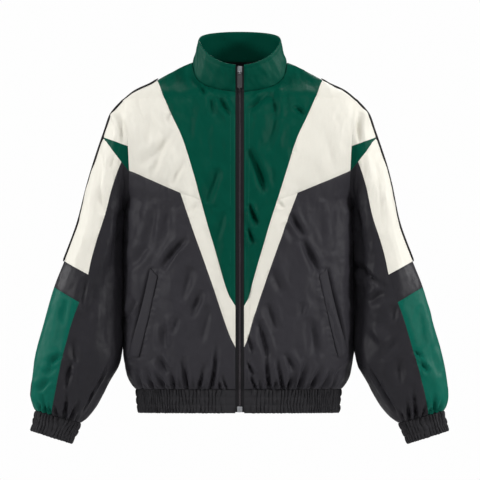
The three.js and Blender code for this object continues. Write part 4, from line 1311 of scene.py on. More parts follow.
class Workshop:
    """Makes pieces from mesh data and dresses them."""

    LEAST_FILLED = 0.302

    def __init__(self) -> None:
        """Starts with no materials."""
        self.materials: dict[str, bpy.types.Material] = {}

    def material(self, finish: Finish) -> bpy.types.Material:
        """The finish's material, made once."""
        if finish.name not in self.materials:
            self.materials[finish.name] = finish.material()
        return self.materials[finish.name]

    def piece(
        self, name: str, data: MeshData, finish: Finish, slot: str, nodes: Sequence[str] = ()
    ) -> bpy.types.Object:
        """Makes a piece that rides on the jacket.

        Args:
            name: the piece's name.
            data: its mesh.
            finish: what it is made of.
            slot: the record's material slot; not used.
            nodes: the CAD nodes that it stands for.

        Returns:
            The piece.
        """
        mesh = MeshData(settled(data.points), data.triangles, data.quads, data.weave).mesh(name)
        mesh.materials.append(self.material(finish))
        made = placed(name, mesh)
        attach(made, JACKET_BODY)
        if nodes:
            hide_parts(*nodes)
        LOG.info("%s: %d faces", name, len(mesh.polygons))
        return made

    def sewn(
        self, name: str, data: MeshData, cut: Cut, flat: tuple[float, float], area: float | None = None
    ) -> None:
        """Makes a cloth piece for the CAD node of that name.

        Args:
            name: the CAD node's name.
            data: the piece's mesh.
            cut: what it is cut from and how it is held.
            flat: its width and length when flat, in metres; not used.
            area: its area when flat, or None if it fills the rectangle; not used.
        """
        made = self.piece(f"cloth_{name}", data, cut.finish, cut.slot, [name])
        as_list(cut.rests)

    def cut_out(
        self, sheet: Sheet, masks: Mapping[str, Array], lift: Lift, side: Side | None = None
    ) -> None:
        """Makes pieces of a cut sheet.

        The width stated is the measured one, or the area over LEAST_FILLED and the length where that is
        less, because the frame takes no cut that fills less of its rectangle. That narrows only the
        pointed green front, which measures 0.242 m.

        Args:
            sheet: the sheet, as on the left.
            masks: for each kind of piece, which of the sheet's triangles it takes.
            lift: how far the cloth stands off, from the parameters and points.
            side: the side that they are for, or None if they span both.
        """
        for kind, mask in masks.items():
            panel = walled(sheet, sheet.triangles[mask], lift)
            width, length = panel.width * MM, panel.length * MM
            area = min(panel.area * MM**2, width * length)
            width = min(width, area / self.LEAST_FILLED / length)
            data = panel.data.on(side) if side else panel.data
            name = f"{kind}_{side.word}" if side else kind
            self.sewn(name, data, CUTS[kind], (width, length), area)


# The cut cloth


class Drape:
    """The small unevenness of thin cloth, the same on every run."""

    FAR = 99.0

    def __init__(self, seed: int) -> None:
        """Draws its noise."""
        self.noise = Noise(seed)

    def swell(self, across: Array, along: Array, hang: Array | float) -> Array:
        """Slow swells, folds that hang down the cloth, and crinkles.

        Args:
            across: millimetres across the cloth.
            along: millimetres along it.
            hang: the strength of the hanging folds.

        Returns:
            How far the cloth stands off.
        """
        slow = 3.0 * self.noise(across / 85, along / 140)
        hanging = hang * self.noise(across / 31 + 40.5, along / 170 + 9.3)
        broad = 1.25 * self.noise(across / 26 + along / 60 + 15.1, along / 44 - across / 90)
        crinkle = 0.6 * self.noise(across / 12 + 80.2, along / 17)
        fine = 0.24 * self.noise(across / 6, along / 8 + 60.7)
        return slow + 1.5 * hanging + broad + crinkle + fine

    def seam(self, off: Array, along: Array, within: Array | bool = True) -> Array:
        """The dip along a seam and the puckers that its stitches draw.

        Args:
            off: distance from the seam.
            along: millimetres along it.
            within: where the seam runs.

        Returns:
            How far the cloth stands off.
        """
        off = np.where(within, off, self.FAR)
        pucker = 0.5 * self.noise(along / 6.5, off / 30 + 3.1) * np.exp(-np.abs(off) / 8)
        return pucker - 0.85 * bell(off, 2.3)

    def gathers(self, across: Array, above: Array) -> Array:
        """Small close gathers just above a gathered seam."""
        wave = np.sin(2 * np.pi * across / 9.3 + 2.4 * self.noise(across / 27, above / 50 + 7.7))
        return 1.2 * wave * bell(above, 15)


def above_line(start: Spot, end: Spot) -> Measure:
    """Signed distance in the front view from the line through two points, positive above it."""
    length = math.hypot(end.x - start.x, end.z - start.z)
    sign = math.copysign(1.0, end.x - start.x)

    def measure(points: Array) -> Array:
        """The distance of each point."""
        cross = (end.x - start.x) * (points[:, 2] - start.z) - (end.z - start.z) * (points[:, 0] - start.x)
        return sign * cross / length

    return measure


def right_of(curve: Curve) -> Measure:
    """Distance in X from a seam that is a curve of the height."""
    return lambda points: points[:, 0] - curve(points[:, 2])


CHEST_SEAM = (
    (-18, 176), (-30, 164.5), (-60, 152.5), (-96, 137), (-144, 114.5), (-216, 92), (-288, 72.5),
    (-384, 44.5), (-456, 22.5), (-478, 9.5), (-520, -16),
)
CHEVRON_SEAM = (
    (-200, 138), (-254, 118.5), (-324, 94.5), (-444, 52.5), (-504, 32.5), (-540, 19.5), (-560, 9.5),
    (-600, -10),
)
SLEEVE_DIVIDE = (
    (-170, 224), (-190.8, 235.5), (-240, 253.5), (-300, 269.5), (-348, 285.5), (-384, 295.5),
    (-417, 302.5), (-472, 320.5), (-520, 337), (-572, 350.5), (-616, 360.5), (-660, 370), (-690, 375.5),
    (-720, 380),
)
SIDE_SEAM_POINT = Spot(221.5, -210)
CHEVRON_POINT = Spot(118.5, -254)
STRIP_POINT = Spot(80, -268)
INSERT_OUTER = Spot(276.5, -141.2)
INSERT_TOP = Spot(223.9, -160.2)
STRIPE_END = (Spot(350.5, -391), Spot(302.5, -417))
FOREARM_START = (Spot(368.5, -444), Spot(320.5, -472))
WELT_INNER = (Spot(199.5, -580), Spot(164.5, -420))
WELT_OUTER = (Spot(214.5, -580), Spot(177.5, -406))


class Stitching:
    """Rows of lockstitch in one thread: short rounded bars laid end to end."""

    PITCH = 3.1
    BAR = (2.5, 0.6, 0.5)

    def __init__(self) -> None:
        """Starts with no rows."""
        self.centres: list[Array] = []
        self.axes: list[Array] = []

    def sew(self, points: Array, normals: Array) -> None:
        """Lays stitches along a line on the cloth.

        Args:
            points: the line's points.
            normals: the cloth's normals there.
        """
        run = np.concatenate(([0], np.cumsum(np.linalg.norm(np.diff(points, axis=0), axis=1))))
        way = np.arange(self.PITCH, run[-1] - self.PITCH / 2, self.PITCH)

        def read(values: Array, at: Array) -> Array:
            """Values of the line at ways along it."""
            return np.stack([np.interp(at, run, values[:, k]) for k in range(3)], axis=-1)

        along = unit(read(points, way + 0.6) - read(points, way - 0.6))
        across = unit(np.cross(read(normals, way), along))
        self.centres.append(read(points, way))
        self.axes.append(np.stack((along, across, np.cross(along, across)), axis=1))

    def data(self) -> MeshData:
        """All the stitches."""
        points, quads = rounded_bar(*self.BAR)
        return repeated(points, quads, np.concatenate(self.centres), np.concatenate(self.axes))


@dataclass
class TrunkCloth:
    """The fronts and the back, cut from the trunk's surface."""

    POCKET_LOW: ClassVar[float] = -582
    POCKET_HIGH: ClassVar[float] = -406
    MOUTH_DEPTH: ClassVar[float] = 13.0
    NECK_RISE: ClassVar[float] = 4.2
    CORNER_SWELL: ClassVar[float] = 5.0
    STITCH_STEP: ClassVar[float] = 2.0

    trunk: Trunk
    front_columns: int = 112
    back_columns: int = 172
    neck_half: float = 94.5
    neck_front: float = 78
    neck_back: float = 62
    topstitch_x: float = 18.8

    def __post_init__(self) -> None:
        """Makes the seams' curves and the cloth's unevenness."""
        self.chest = right_of(Curve.of(CHEST_SEAM))
        self.chevron = right_of(Curve.of(CHEVRON_SEAM))
        under_chest = above_line(CHEVRON_POINT, SIDE_SEAM_POINT)
        strip = above_line(STRIP_POINT, CHEVRON_POINT)
        self.chest_edge = lambda points: np.minimum(under_chest(points), strip(points))
        self.welt_outer, self.welt_inner = (
            Curve([end.z for end in edge], [end.x for end in edge]) for edge in (WELT_OUTER, WELT_INNER)
        )
        self.drape = {Face.FRONT: Drape(11), Face.BACK: Drape(12)}
        self.back_gathers = rooted_folds(BACK_ROOTS, lambda x: self.trunk.hem_z, 5, 0.12)

    def levels(self) -> Array:
        """The grid's heights: even but for the armhole, where they follow its loop."""
        low = np.arange(self.trunk.hem_z, self.trunk.armhole_bottom - 1, 3.2)
        middle = self.trunk.armhole_z(np.linspace(1, 0, 70))
        high = np.linspace(self.trunk.armhole_top, self.trunk.top_z, 30)[1:]
        return np.unique(np.concatenate((low, middle, high)))

    def in_neck(self, points: Array) -> Array:
        """Distance inside the neck hole, positive within."""
        depth = np.where(points[:, 1] < 0, self.neck_front, self.neck_back)
        return (1 - np.hypot(points[:, 0] / self.neck_half, points[:, 1] / depth)) * depth

    def pocket_dips(self, points: Array, drape: Drape) -> Array:
        """The folded-in cloth along the pocket's mouth and the stitched edge on the welt's inner side."""
        x, z = points[:, 0], points[:, 2]
        low, high = self.POCKET_LOW, self.POCKET_HIGH
        along = ramp(low - 6, low + 4, z) * ramp(high + 4, high - 10, z)
        outer = right_of(self.welt_outer)(points)
        inner = right_of(self.welt_inner)(points)
        middle = 0.6 + 0.4 * ramp(high - 14, high - 74, z) * ramp(low + 7, low + 52, z)
        mouth = self.MOUTH_DEPTH * bell(outer - 1.2, np.where(outer > 1.2, 3.2, 2.0)) * middle
        edge = 1.3 * bell(inner + 0.6, 1.5)
        pucker = 1.5 * drape.noise(z / 5.5, x / 60) * bell(inner + 5, 6)
        ends = 1.6 * (bell(z - high, 3) + bell(z - low, 3))
        return along * (pucker - mouth - edge) - ends * ramp(4, 0, outer) * ramp(-4, 0, inner)

    def neck_rise(self, points: Array) -> Array:
        """The shoulder's rise towards the neck."""
        return self.NECK_RISE * bell(self.in_neck(points), 9) * ramp(-26, -4, points[:, 2])

    def armpit_ease(self, points: Array) -> Array:
        """Eases the sharp start of the armhole's bulge into the side below it."""
        over = np.maximum(points[:, 2] - self.trunk.armhole_bottom, 0)
        reach = np.minimum(np.abs(points[:, 0]) / 200, 1) ** 4
        return -0.32 * over * np.exp(-over / 16) * reach

    def side_swell(self, points: Array) -> Array:
        """The side's swell towards the sleeve that rests against it."""
        x, z = np.abs(points[..., 0]), points[..., 2]
        share = ramp(-262, -292, z) * ramp(-610, -576, z)
        side = (1.7 + 1.3 * ramp(-440, -545, z)) * ramp(150, 222, x)
        return share * (self.CORNER_SWELL * bell(x - 210, 12) + side)

    def front_lift(self, side: Side, params: Array, points: Array) -> Array:
        """How far a front's cloth stands off the trunk.

        Args:
            side: which front it is.
            params: the points' parameters.
            points: the points on the left front.

        Returns:
            The lift.
        """
        drape = self.drape[Face.FRONT]
        x, z = points[:, 0], points[:, 2]
        real_x = x * side.value
        across = params[:, 0] * self.trunk.half_girth
        to_side = self.trunk.half_girth - across
        above = z - self.trunk.hem_z
        calm = ramp(0, 13, to_side) * ramp(1, 12, x - self.trunk.zip_edge)
        hang = 0.8 + 1.3 * ramp(-200, -430, z)
        chest, edge, neck = self.chest(points), self.chest_edge(points), self.in_neck(points)
        height = drape.swell(real_x * 1.2, z, hang) + folded(FRONT_FOLDS, real_x, z)
        height += self.armpit_ease(points)
        height *= (1 + 0.5 * ramp(6, -6, chest)) * ramp(0, -15, neck)
        height *= calm * (0.35 + 0.65 * ramp(0, 30, above))
        height += folded(HEM_FOLDS, real_x, z) * ramp(0, 10, to_side)
        gathers = drape.gathers(across + 50 * side.value, above)
        height += gathers * ramp(4, 20, x - self.trunk.zip_edge)
        height *= 0.3 + 0.7 * ramp(0, 7, above)
        height -= 0.55 * bell(x - self.topstitch_x, 1.3)
        height += self.neck_rise(points) + self.side_swell(points) + self.pocket_dips(points, drape)
        height += drape.seam(chest, z + SIDES_APART * side.value)
        height += drape.seam(edge, x + SIDES_APART * side.value, chest > 0)
        height += drape.seam(self.chevron(points), z + 900 * side.value, (chest > 0) & (edge < 0))
        return height + 0.4 * drape.seam(neck, x * 1.4)

    def back_lift(self, params: Array, points: Array) -> Array:
        """How far the back's cloth stands off the trunk.

        Args:
            params: the points' parameters, the first from 0 on the right to 1 on the left.
            points: the points.

        Returns:
            The lift.
        """
        drape = self.drape[Face.BACK]
        x, z = points[:, 0], points[:, 2]
        across = (2 * params[:, 0] - 1) * self.trunk.half_girth
        to_side = self.trunk.half_girth - np.abs(across)
        above = z - self.trunk.hem_z
        hang = 0.6 + 1.4 * ramp(-200, -430, z)
        height = drape.swell(x * 1.2, z, hang) + folded(BACK_FOLDS, x, z)
        height += self.armpit_ease(points)
        height = height * ramp(0, 13, to_side) * (0.35 + 0.65 * ramp(0, 30, above))
        height += folded(self.back_gathers, x, z) * ramp(0, 10, to_side)
        height += drape.gathers(across, above)
        height *= 0.3 + 0.7 * ramp(0, 7, above)
        height += self.neck_rise(points) + self.side_swell(points)
        return height + 0.4 * drape.seam(self.in_neck(points), x * 1.4)

    def stitch(self, side: Side, x: Array, z: Array, thread: Stitching) -> None:
        """Sews along a front, by places in the front view.

        Args:
            side: which front it is.
            x: places across, as on the left.
            z: heights.
            thread: the thread's stitches.
        """
        params = np.stack((self.trunk.share_at(Face.FRONT, x, z), z), axis=-1)
        step = (FINE_STEP / self.trunk.half_girth, FINE_STEP)
        base, _, normal = surface_frame(partial(self.trunk.point, Face.FRONT), params[:, 0], z, step)
        mirror = np.array([side.value, 1.0, 1.0])
        raised = base + normal * (self.front_lift(side, params, base) + DRAWN_IN)[:, None]
        thread.sew(raised * mirror, normal * mirror)

    def sew(self, workshop: Workshop) -> None:
        """Topstitches the fronts beside the zip, along the seams and round the pockets."""
        chest = np.arange(-466, -30, self.STITCH_STEP)
        chevron = np.arange(-534, -262, self.STITCH_STEP)
        pocket = np.arange(-579, -420, self.STITCH_STEP)
        across = np.linspace(CHEVRON_POINT.x + 2, SIDE_SEAM_POINT.x - 4, 60)
        rise = (SIDE_SEAM_POINT.z - CHEVRON_POINT.z) / (SIDE_SEAM_POINT.x - CHEVRON_POINT.x)
        rows = [
            ("cream", Curve.of(CHEST_SEAM)(chest) + 2.8, chest),
            ("charcoal", Curve.of(CHEVRON_SEAM)(chevron) + 2.6, chevron),
            ("charcoal", across, CHEVRON_POINT.z + (across - CHEVRON_POINT.x) * rise - 2.8),
            ("charcoal", self.welt_inner(pocket) - 2.2, pocket),
        ]
        for name, low, high in (("charcoal", -641, -566), ("cream", -546, -486), ("green", -474, -92)):
            z = np.arange(low, high, self.STITCH_STEP)
            for x in (self.trunk.zip_edge + 2.4, self.topstitch_x):
                rows.append((name, np.full_like(z, x), z))
        threads = {name: Stitching() for name in THREADS}
        for side in Side:
            for name, x, z in rows:
                self.stitch(side, x, z, threads[name])
        for name, thread in threads.items():
            workshop.piece(f"thread_{name}", thread.data(), THREADS[name], f"{name}_cloth")

    def make(self, workshop: Workshop) -> None:
        """Cuts and dresses the two fronts and the back."""
        us = np.linspace(0, 1, self.front_columns)
        front = partial(self.trunk.point, Face.FRONT)
        sheet = Sheet(front, us, self.levels(), self.trunk.half_girth, 1.0)
        sheet.cut(self.in_neck)
        sheet.cut(self.chest)
        sheet.cut(self.chest_edge, lambda points: self.chest(points) > 0)
        sheet.cut(self.chevron, lambda points: (self.chest(points) > 0) & (self.chest_edge(points) < 0))
        middles = sheet.middles()
        chest, edge, chevron = self.chest(middles), self.chest_edge(middles), self.chevron(middles)
        kept = self.in_neck(middles) < 0
        masks = {
            "front_green": kept & (chest < 0),
            "front_chest": kept & (chest > 0) & (edge > 0),
            "front_chevron": kept & (chest > 0) & (edge < 0) & (chevron < 0),
            "front_lower": kept & (chest > 0) & (edge < 0) & (chevron > 0),
        }
        for side in Side:
            workshop.cut_out(sheet, masks, partial(self.front_lift, side), side)
        self._make_back(workshop)

    def _make_back(self, workshop: Workshop) -> None:
        """Cuts and dresses the back."""

        def surface(u: Array, z: Array) -> Array:
            """The back from the right side, 0, to the left side, 1."""
            points = self.trunk.point(Face.BACK, np.abs(2 * u - 1), z)
            return points * xyz(np.sign(2 * u - 1), 1, 1)

        us = np.linspace(0, 1, self.back_columns)
        sheet = Sheet(surface, us, self.levels(), 2 * self.trunk.half_girth, -1.0)
        sheet.cut(self.in_neck)
        workshop.cut_out(sheet, {"back": self.in_neck(sheet.middles()) < 0}, self.back_lift)


@dataclass
class SleeveCloth:
    """The sleeves' pieces, cut from the sleeve's surface."""

    BODY_DIP: ClassVar[float] = 7.0

    sleeve: Sleeve
    columns: int = 62
    spacing: float = 3.6

    def __post_init__(self) -> None:
        """Makes the seams' measures and the cloth's unevenness."""
        self.cap_edge = above_line(INSERT_OUTER, INSERT_TOP)
        self.insert_edge = above_line(INSERT_OUTER, SIDE_SEAM_POINT)
        self.stripe_end = above_line(*STRIPE_END)
        self.forearm_start = above_line(*FOREARM_START)
        self.outside = right_of(Curve.of(SLEEVE_DIVIDE))
        self.drape = {Side.LEFT: Drape(21), Side.RIGHT: Drape(22)}
        end = SLEEVE_RINGS[-1]
        slope = (end.oz - end.iz) / (end.ox - end.ix)
        self.back_gathers = rooted_folds(SLEEVE_ROOTS, lambda x: end.oz - (end.ox - x) * slope, 9, 0.1)

    def lift(self, side: Side, face: Face, params: Array, points: Array) -> Array:
        """How far the sleeve's cloth stands off its rings.

        Args:
            side: which sleeve it is.
            face: its front or back.
            params: the points' parameters.
            points: the points on the left sleeve.

        Returns:
            The lift.
        """
        drape = self.drape[side]
        x, z = points[:, 0], points[:, 2]
        across = params[:, 0] * self.sleeve.half_girth
        to_edge = np.minimum(across, self.sleeve.half_girth - across)
        above = self.sleeve.length - params[:, 1]
        hang = 0.8 + 0.9 * ramp(0.2, 0.7, params[:, 1] / self.sleeve.length)
        height = drape.swell(across * face.value + 300, params[:, 1], hang)
        if face is Face.FRONT:
            height += folded(SLEEVE_FOLDS, x * side.value, z)
            gathers = folded(CUFF_FOLDS, x * side.value, z)
        else:
            height += folded(SLEEVE_BACK_FOLDS, x, z)
            gathers = folded(self.back_gathers, x, z)
        height *= ramp(0, 12, to_edge) * (0.4 + 0.6 * ramp(0, 22, above))
        height *= 0.3 + 0.7 * ramp(0, 16, params[:, 1])
        gathers += 0.8 * drape.gathers(across * face.value + 500, above)
        height += gathers * ramp(0, 9, to_edge)
        height *= 0.3 + 0.7 * ramp(0, 7, above)
        height += 0.5 * drape.seam(params[:, 1], across) * ramp(-262, -215, z)
        to_body = self.sleeve.half_girth - across
        share = ramp(-215, -262, z) * ramp(-618, -586, z)
        press = 1.7 + 1.2 * ramp(-500, -570, z) + 3.6 * bell(z + 286, 18)
        height += share * press * ramp(34, 6, to_body)
        beside = ramp(-262, -320, z) * ramp(-600, -540, z)
        height -= self.BODY_DIP * beside * bell(to_body - 52, 22)
        return height if face is Face.BACK else height + self.seams(drape, points)

    def seams(self, drape: Drape, points: Array) -> Array:
        """The dips and puckers along the seams of the sleeve's front."""
        x, z = points[:, 0], points[:, 2]
        cap, below = self.cap_edge(points), self.insert_edge(points) < 0
        outside = self.outside(points)
        height = drape.seam(cap, x) + drape.seam(self.insert_edge(points), x + 200, cap < 0)
        height += drape.seam(outside, z, below)
        for edge in (self.stripe_end, self.forearm_start):
            height += drape.seam(edge(points), x + 600, below & (outside > 0))
        return height

    def make(self, workshop: Workshop) -> None:
        """Cuts and dresses both sleeves."""
        us = np.linspace(0, 1, self.columns)
        ways = np.linspace(0, self.sleeve.length, int(self.sleeve.length / self.spacing))
        front, back = (
            Sheet(partial(self.sleeve.point, face), us, ways, self.sleeve.half_girth, outward)
            for face, outward in ((Face.FRONT, 1.0), (Face.BACK, -1.0))
        )

        def below(points: Array) -> Array:
            """Which points are past the insert."""
            return self.insert_edge(points) < 0

        front.cut(self.cap_edge)
        front.cut(self.insert_edge, lambda points: self.cap_edge(points) < 0)
        front.cut(self.stripe_end, below)
        front.cut(self.forearm_start, below)
        front.cut(self.outside, below)
        middles = front.middles()
        cap, under = self.cap_edge(middles) > 0, below(middles)
        outer = under & (self.outside(middles) > 0)
        stripe, forearm = self.stripe_end(middles) > 0, self.forearm_start(middles) < 0
        masks = {
            "sleeve_cap": cap,
            "sleeve_insert": ~cap & ~under,
            "sleeve_stripe": ~cap & outer & stripe,
            "sleeve_forearm": ~cap & outer & forearm,
            "sleeve_front": ~cap & under & ~(outer & (stripe | forearm)),
        }
        whole = {"sleeve_back": np.ones(len(back.triangles), bool)}
        for side in Side:
            workshop.cut_out(front, masks, partial(self.lift, side, Face.FRONT), side)
            workshop.cut_out(back, whole, partial(self.lift, side, Face.BACK), side)


# Collar and ribbed bands


class PlanOval(NamedTuple):
    """An oval in plan: half width, reach in front and behind, and its middle's Y."""

    half: float
    front: float
    back: float
    y: float

    def at(self, angle: Array) -> tuple[Array, Array]:
        """The oval's point at an angle from the front."""
        reach = np.where(np.cos(angle) > 0, self.front, self.back)
        return self.half * np.sin(angle), self.y - reach * np.cos(angle)


@dataclass
class Collar:
    """The stand-up collar, from the neck seam to a rim that drops towards the zip."""

    trunk: Trunk
    seam: PlanOval = PlanOval(94.5, 78, 62, 0)
    rim: PlanOval = PlanOval(82, 72, 62, -14)
    side_z: float = 50
    front_drop: float = 49.4
    back_rise: float = 19
    front_power: float = 1.3
    back_power: float = 0.6
    wall: float = 2.3
    columns: int = 340
    girth: float = 480
    stitched_v: float = 0.86
    flat: tuple[float, float] = (0.49, 0.085)
    flat_area: float = 0.031

    def angle(self, half: float, u: Array) -> Array:
        """The angle round an oval for u from 0 at the zip on the left to 1 on the right."""
        start = math.asin(self.trunk.zip_edge / half)
        return start + (2 * math.pi - 2 * start) * u

    def surface(self, u: Array, v: Array) -> Array:
        """Points from the neck seam, v 0, to the rim, v 1, on straight lines between the two curves."""
        seam_x, seam_y = self.seam.at(self.angle(self.seam.half, u))
        rim_angle = self.angle(self.rim.half, u)
        rim_x, rim_y = self.rim.at(rim_angle)
        facing = np.cos(rim_angle)
        drop = self.front_drop * np.maximum(facing, 0) ** self.front_power
        rise = self.back_rise * np.maximum(-facing, 0) ** self.back_power
        seam_z = self.trunk.height_at(np.abs(seam_x), seam_y) + 2 * SEAM_GAP
        rim = xyz(rim_x, rim_y, self.side_z - drop + rise)
        return mixed(xyz(seam_x, seam_y, seam_z), rim, v[..., None])

    def make(self, workshop: Workshop) -> None:
        """Builds and dresses the collar."""
        noise = Noise(31)

        def lift(u: Array, v: Array) -> Array:
            """Soft upright waves, puckers by the seam and a stitched line below the rim."""
            across = u * self.girth
            height = 2.5 * noise(across / 22 + v, v * 1.6 + 5) + 0.9 * noise(across / 9 + 2 * v, v * 3)
            height = height * np.sin(np.pi * np.clip(v, 0, 1)) ** 0.5
            calm = ramp(0, 9, np.minimum(across, self.girth - across))
            return height * calm - 0.5 * bell(v - self.stitched_v, 0.03) - 0.7 * bell(v, 0.06)

        us, vs = np.linspace(0, 1, self.columns), np.linspace(0, 1, 27)
        data = banded_wall(self.surface, us, vs, lift, self.wall)
        workshop.sewn("collar", data, Cut(GREEN, "green_cloth"), self.flat, self.flat_area)


@dataclass
class RibbedBand:
    """A band of covered elastic: close ribs in three rows between lines of stitches."""

    ribs: int
    wall: float = 2.2
    rise: float = 4.4
    rows: int = 3
    bulge: float = 0.3
    steps_per_rib: int = 8
    plain_share: float = 0.0
    tuck: float = 3.2
    sink: float = 2.0
    seed: int = 41

    def lift(self, u: Array, v: Array) -> Array:
        """Ribs as a squared sine, uneven in place and height, pinched flat at the lines of stitches."""
        noise = Noise(self.seed)
        row = np.clip(v, 0, 0.999) * self.rows
        phase = self.ribs * u + 0.45 * noise(u * self.ribs / 2.6, row * 0.55)
        height = np.abs(np.sin(np.pi * phase)) ** 0.7
        strength = 0.75 + 0.55 * noise(u * self.ribs / 1.7, row * 0.8 + 20)
        within = 0.6 + 0.4 * np.abs(np.sin(np.pi * row)) ** 0.5
        plain = np.minimum(u, 1 - u) < self.plain_share
        ribbed = np.where(plain, 1.2, self.rise * height * strength)
        return np.where(v > 1, -self.tuck, (ribbed + self.bulge) * within - self.sink)

    def wall_of(self, surface: Surface, closed: bool) -> MeshData:
        """The band's wall over a surface."""
        columns = self.ribs * self.steps_per_rib
        us = np.linspace(0, 1, columns, endpoint=not closed)
        vs = np.append(np.linspace(0, 1, 25), (1.02, 1.09))
        return banded_wall(surface, us, vs, self.lift, self.wall, closed, (2e-4, 1e-3))


@dataclass
class HemBand:
    """The hem band, open at the zip, where a short plain tab ends each side."""

    trunk: Trunk
    top_z: float = -646
    bottom_z: float = -693
    top: PlanOval = PlanOval(207.5, 104.5, 92.5, 0)
    bottom: PlanOval = PlanOval(203.5, 103, 91, 0)
    girth: float = 1060
    tab: float = 13
    rib_pitch: float = 6.6
    flat: tuple[float, float] = (1.08, 0.05)

    def surface(self, u: Array, v: Array) -> Array:
        """Points of a rounded oval, x = half sin(a)^(2/n), y = reach cos(a)^(2/n), with u round it."""
        power = 2 / self.trunk.power
        half = mixed(self.bottom.half, self.top.half, v)
        start = np.arcsin(((self.trunk.zip_edge + SEAM_GAP / 2) / half) ** (self.trunk.power / 2))
        angle = start + (2 * np.pi - 2 * start) * u
        facing = np.cos(angle)
        front = mixed(self.bottom.front, self.top.front, v)
        back = mixed(self.bottom.back, self.top.back, v)
        x = half * signed_power(np.sin(angle), power)
        y = -np.where(facing > 0, front, back) * signed_power(facing, power)
        return xyz(x, y, mixed(self.bottom_z, self.top_z, v))

    def make(self, workshop: Workshop) -> None:
        """Builds and dresses the band."""
        band = RibbedBand(round(self.girth / self.rib_pitch), plain_share=self.tab / self.girth)
        data = band.wall_of(self.surface, False)
        workshop.sewn("hem_band", data, Cut(ELASTIC, "ribbed_elastic", "gathered"), self.flat)


@dataclass
class Cuffs:
    """The two ribbed cuffs."""

    top: SleeveRing = SleeveRing(407.6, -689.4, 317.8, -714, 34, -20)
    bottom: SleeveRing = SleeveRing(418.3, -728.8, 335.5, -755.2, 31, -20)
    power: float = 2.2
    ribs: int = 38
    flat: tuple[float, float] = (0.25, 0.045)

    def ring_point(self, row: SleeveRing, angle: Array) -> Array:
        """A ring's point at an angle from its outer point."""
        mix = (signed_power(np.cos(angle), 2 / self.power) + 1) / 2
        x, z = mixed(row.ix, row.ox, mix), mixed(row.iz, row.oz, mix)
        y = row.y - row.depth * signed_power(np.sin(angle), 2 / self.power)
        return xyz(x, y, z)

    def surface(self, u: Array, v: Array) -> Array:
        """Points between the bottom ring, v 0, and the top ring, v 1."""
        angle = -2 * np.pi * u
        return mixed(self.ring_point(self.bottom, angle), self.ring_point(self.top, angle), v[..., None])

    def make(self, workshop: Workshop) -> None:
        """Builds and dresses the cuffs."""
        for side in Side:
            band = RibbedBand(self.ribs, seed=50 + side.value)
            data = band.wall_of(self.surface, True).on(side)
            cut = Cut(ELASTIC, "ribbed_elastic", "gathered", (f"sleeve_back_{side.word}",))
            workshop.sewn(f"cuff_{side.word}", data, cut, self.flat)


# Pockets, piping and zip


@dataclass
class Welts:
    """The slanted pocket welts, padded a little, with drawn-in ends."""

    trunk: Trunk
    cloth: TrunkCloth
    stand: float = 2.0
    wall: float = 1.2
    flat: tuple[float, float] = (0.018, 0.176)

    def surface(self, u: Array, v: Array) -> Array:
        """Points under the welt: u along it from the bottom, v from its inner to its outer edge."""
        inner, outer = ([mixed(*ends, u) for ends in zip(*edge)] for edge in (WELT_INNER, WELT_OUTER))
        x, z = (mixed(*ends, v) for ends in zip(inner, outer))
        share = self.trunk.share_at(Face.FRONT, x, z)
        front = partial(self.trunk.point, Face.FRONT)
        base, _, normal = surface_frame(front, share, z, (1e-3, FINE_STEP))
        return base + normal * self.cloth.side_swell(base)[..., None]

    def lift(self, noise: Noise, u: Array, v: Array) -> Array:
        """A low crown with slanted puckers across it, higher towards the pocket's mouth."""
        arch = np.sin(np.pi * np.clip(v, 0, 1))
        pucker = 0.9 * noise(u * 17 + v * 1.2, v * 1.2)
        return self.stand + 1.5 * arch**0.6 + 1.6 * v * v + pucker * arch

    def make(self, workshop: Workshop) -> None:
        """Builds and dresses both welts."""
        us, vs = np.linspace(0, 1, 90), np.linspace(0, 1, 13)
        for side in Side:
            data = banded_wall(self.surface, us, vs, partial(self.lift, Noise(60 + side.value)), self.wall)
            cut = Cut(CHARCOAL, "charcoal_cloth", "folded", (f"front_lower_{side.word}",))
            workshop.sewn(f"pocket_welt_{side.word}", data.on(side), cut, self.flat)


@dataclass
class Piping:
    """The cord on the seam from the shoulder to below the elbow."""

    trunk: Trunk
    sleeve: Sleeve
    start_z: float = -26.6
    end_z: float = -392
    radius: float = 2.0
    clear: float = 0.1
    sides: int = 14
    shoulder_rings: int = 18
    sleeve_rings: int = 260

    def make(self, workshop: Workshop) -> None:
        """Builds and dresses both cords: a circle carried along the seam, drawn to a point at each end."""
        heights = np.linspace(self.start_z, self.trunk.armhole_top + 2, self.shoulder_rings)
        top = np.stack((self.trunk.shoulder(heights), heights), axis=-1)
        ways = np.linspace(0, self.sleeve.length, self.sleeve_rings)
        edge = self.sleeve.point(Face.FRONT, np.zeros_like(ways), ways)[:, [0, 2]]
        route = np.concatenate((top, edge[edge[:, 1] > self.end_z]))
        along = unit(np.gradient(route, axis=0))
        out = np.stack((-along[:, 1], along[:, 0]), axis=-1)
        from_end = np.minimum(np.arange(len(route)), np.arange(len(route))[::-1])
        girth = self.radius * np.minimum(1, 0.35 + from_end / 3)
        turn = np.linspace(0, 2 * np.pi, self.sides, endpoint=False)
        off = self.clear + self.radius + girth[:, None] * np.cos(turn)
        x = route[:, :1] + out[:, :1] * off
        z = route[:, 1:] + out[:, 1:] * off
        y = girth[:, None] * np.sin(turn)
        data = loft(xyz(x, y, z), True, False)
        for side in Side:
            node = f"piping_{side.word}"
            workshop.piece(f"cord_{node}", data.on(side), CORD, "dark_tape", [node])


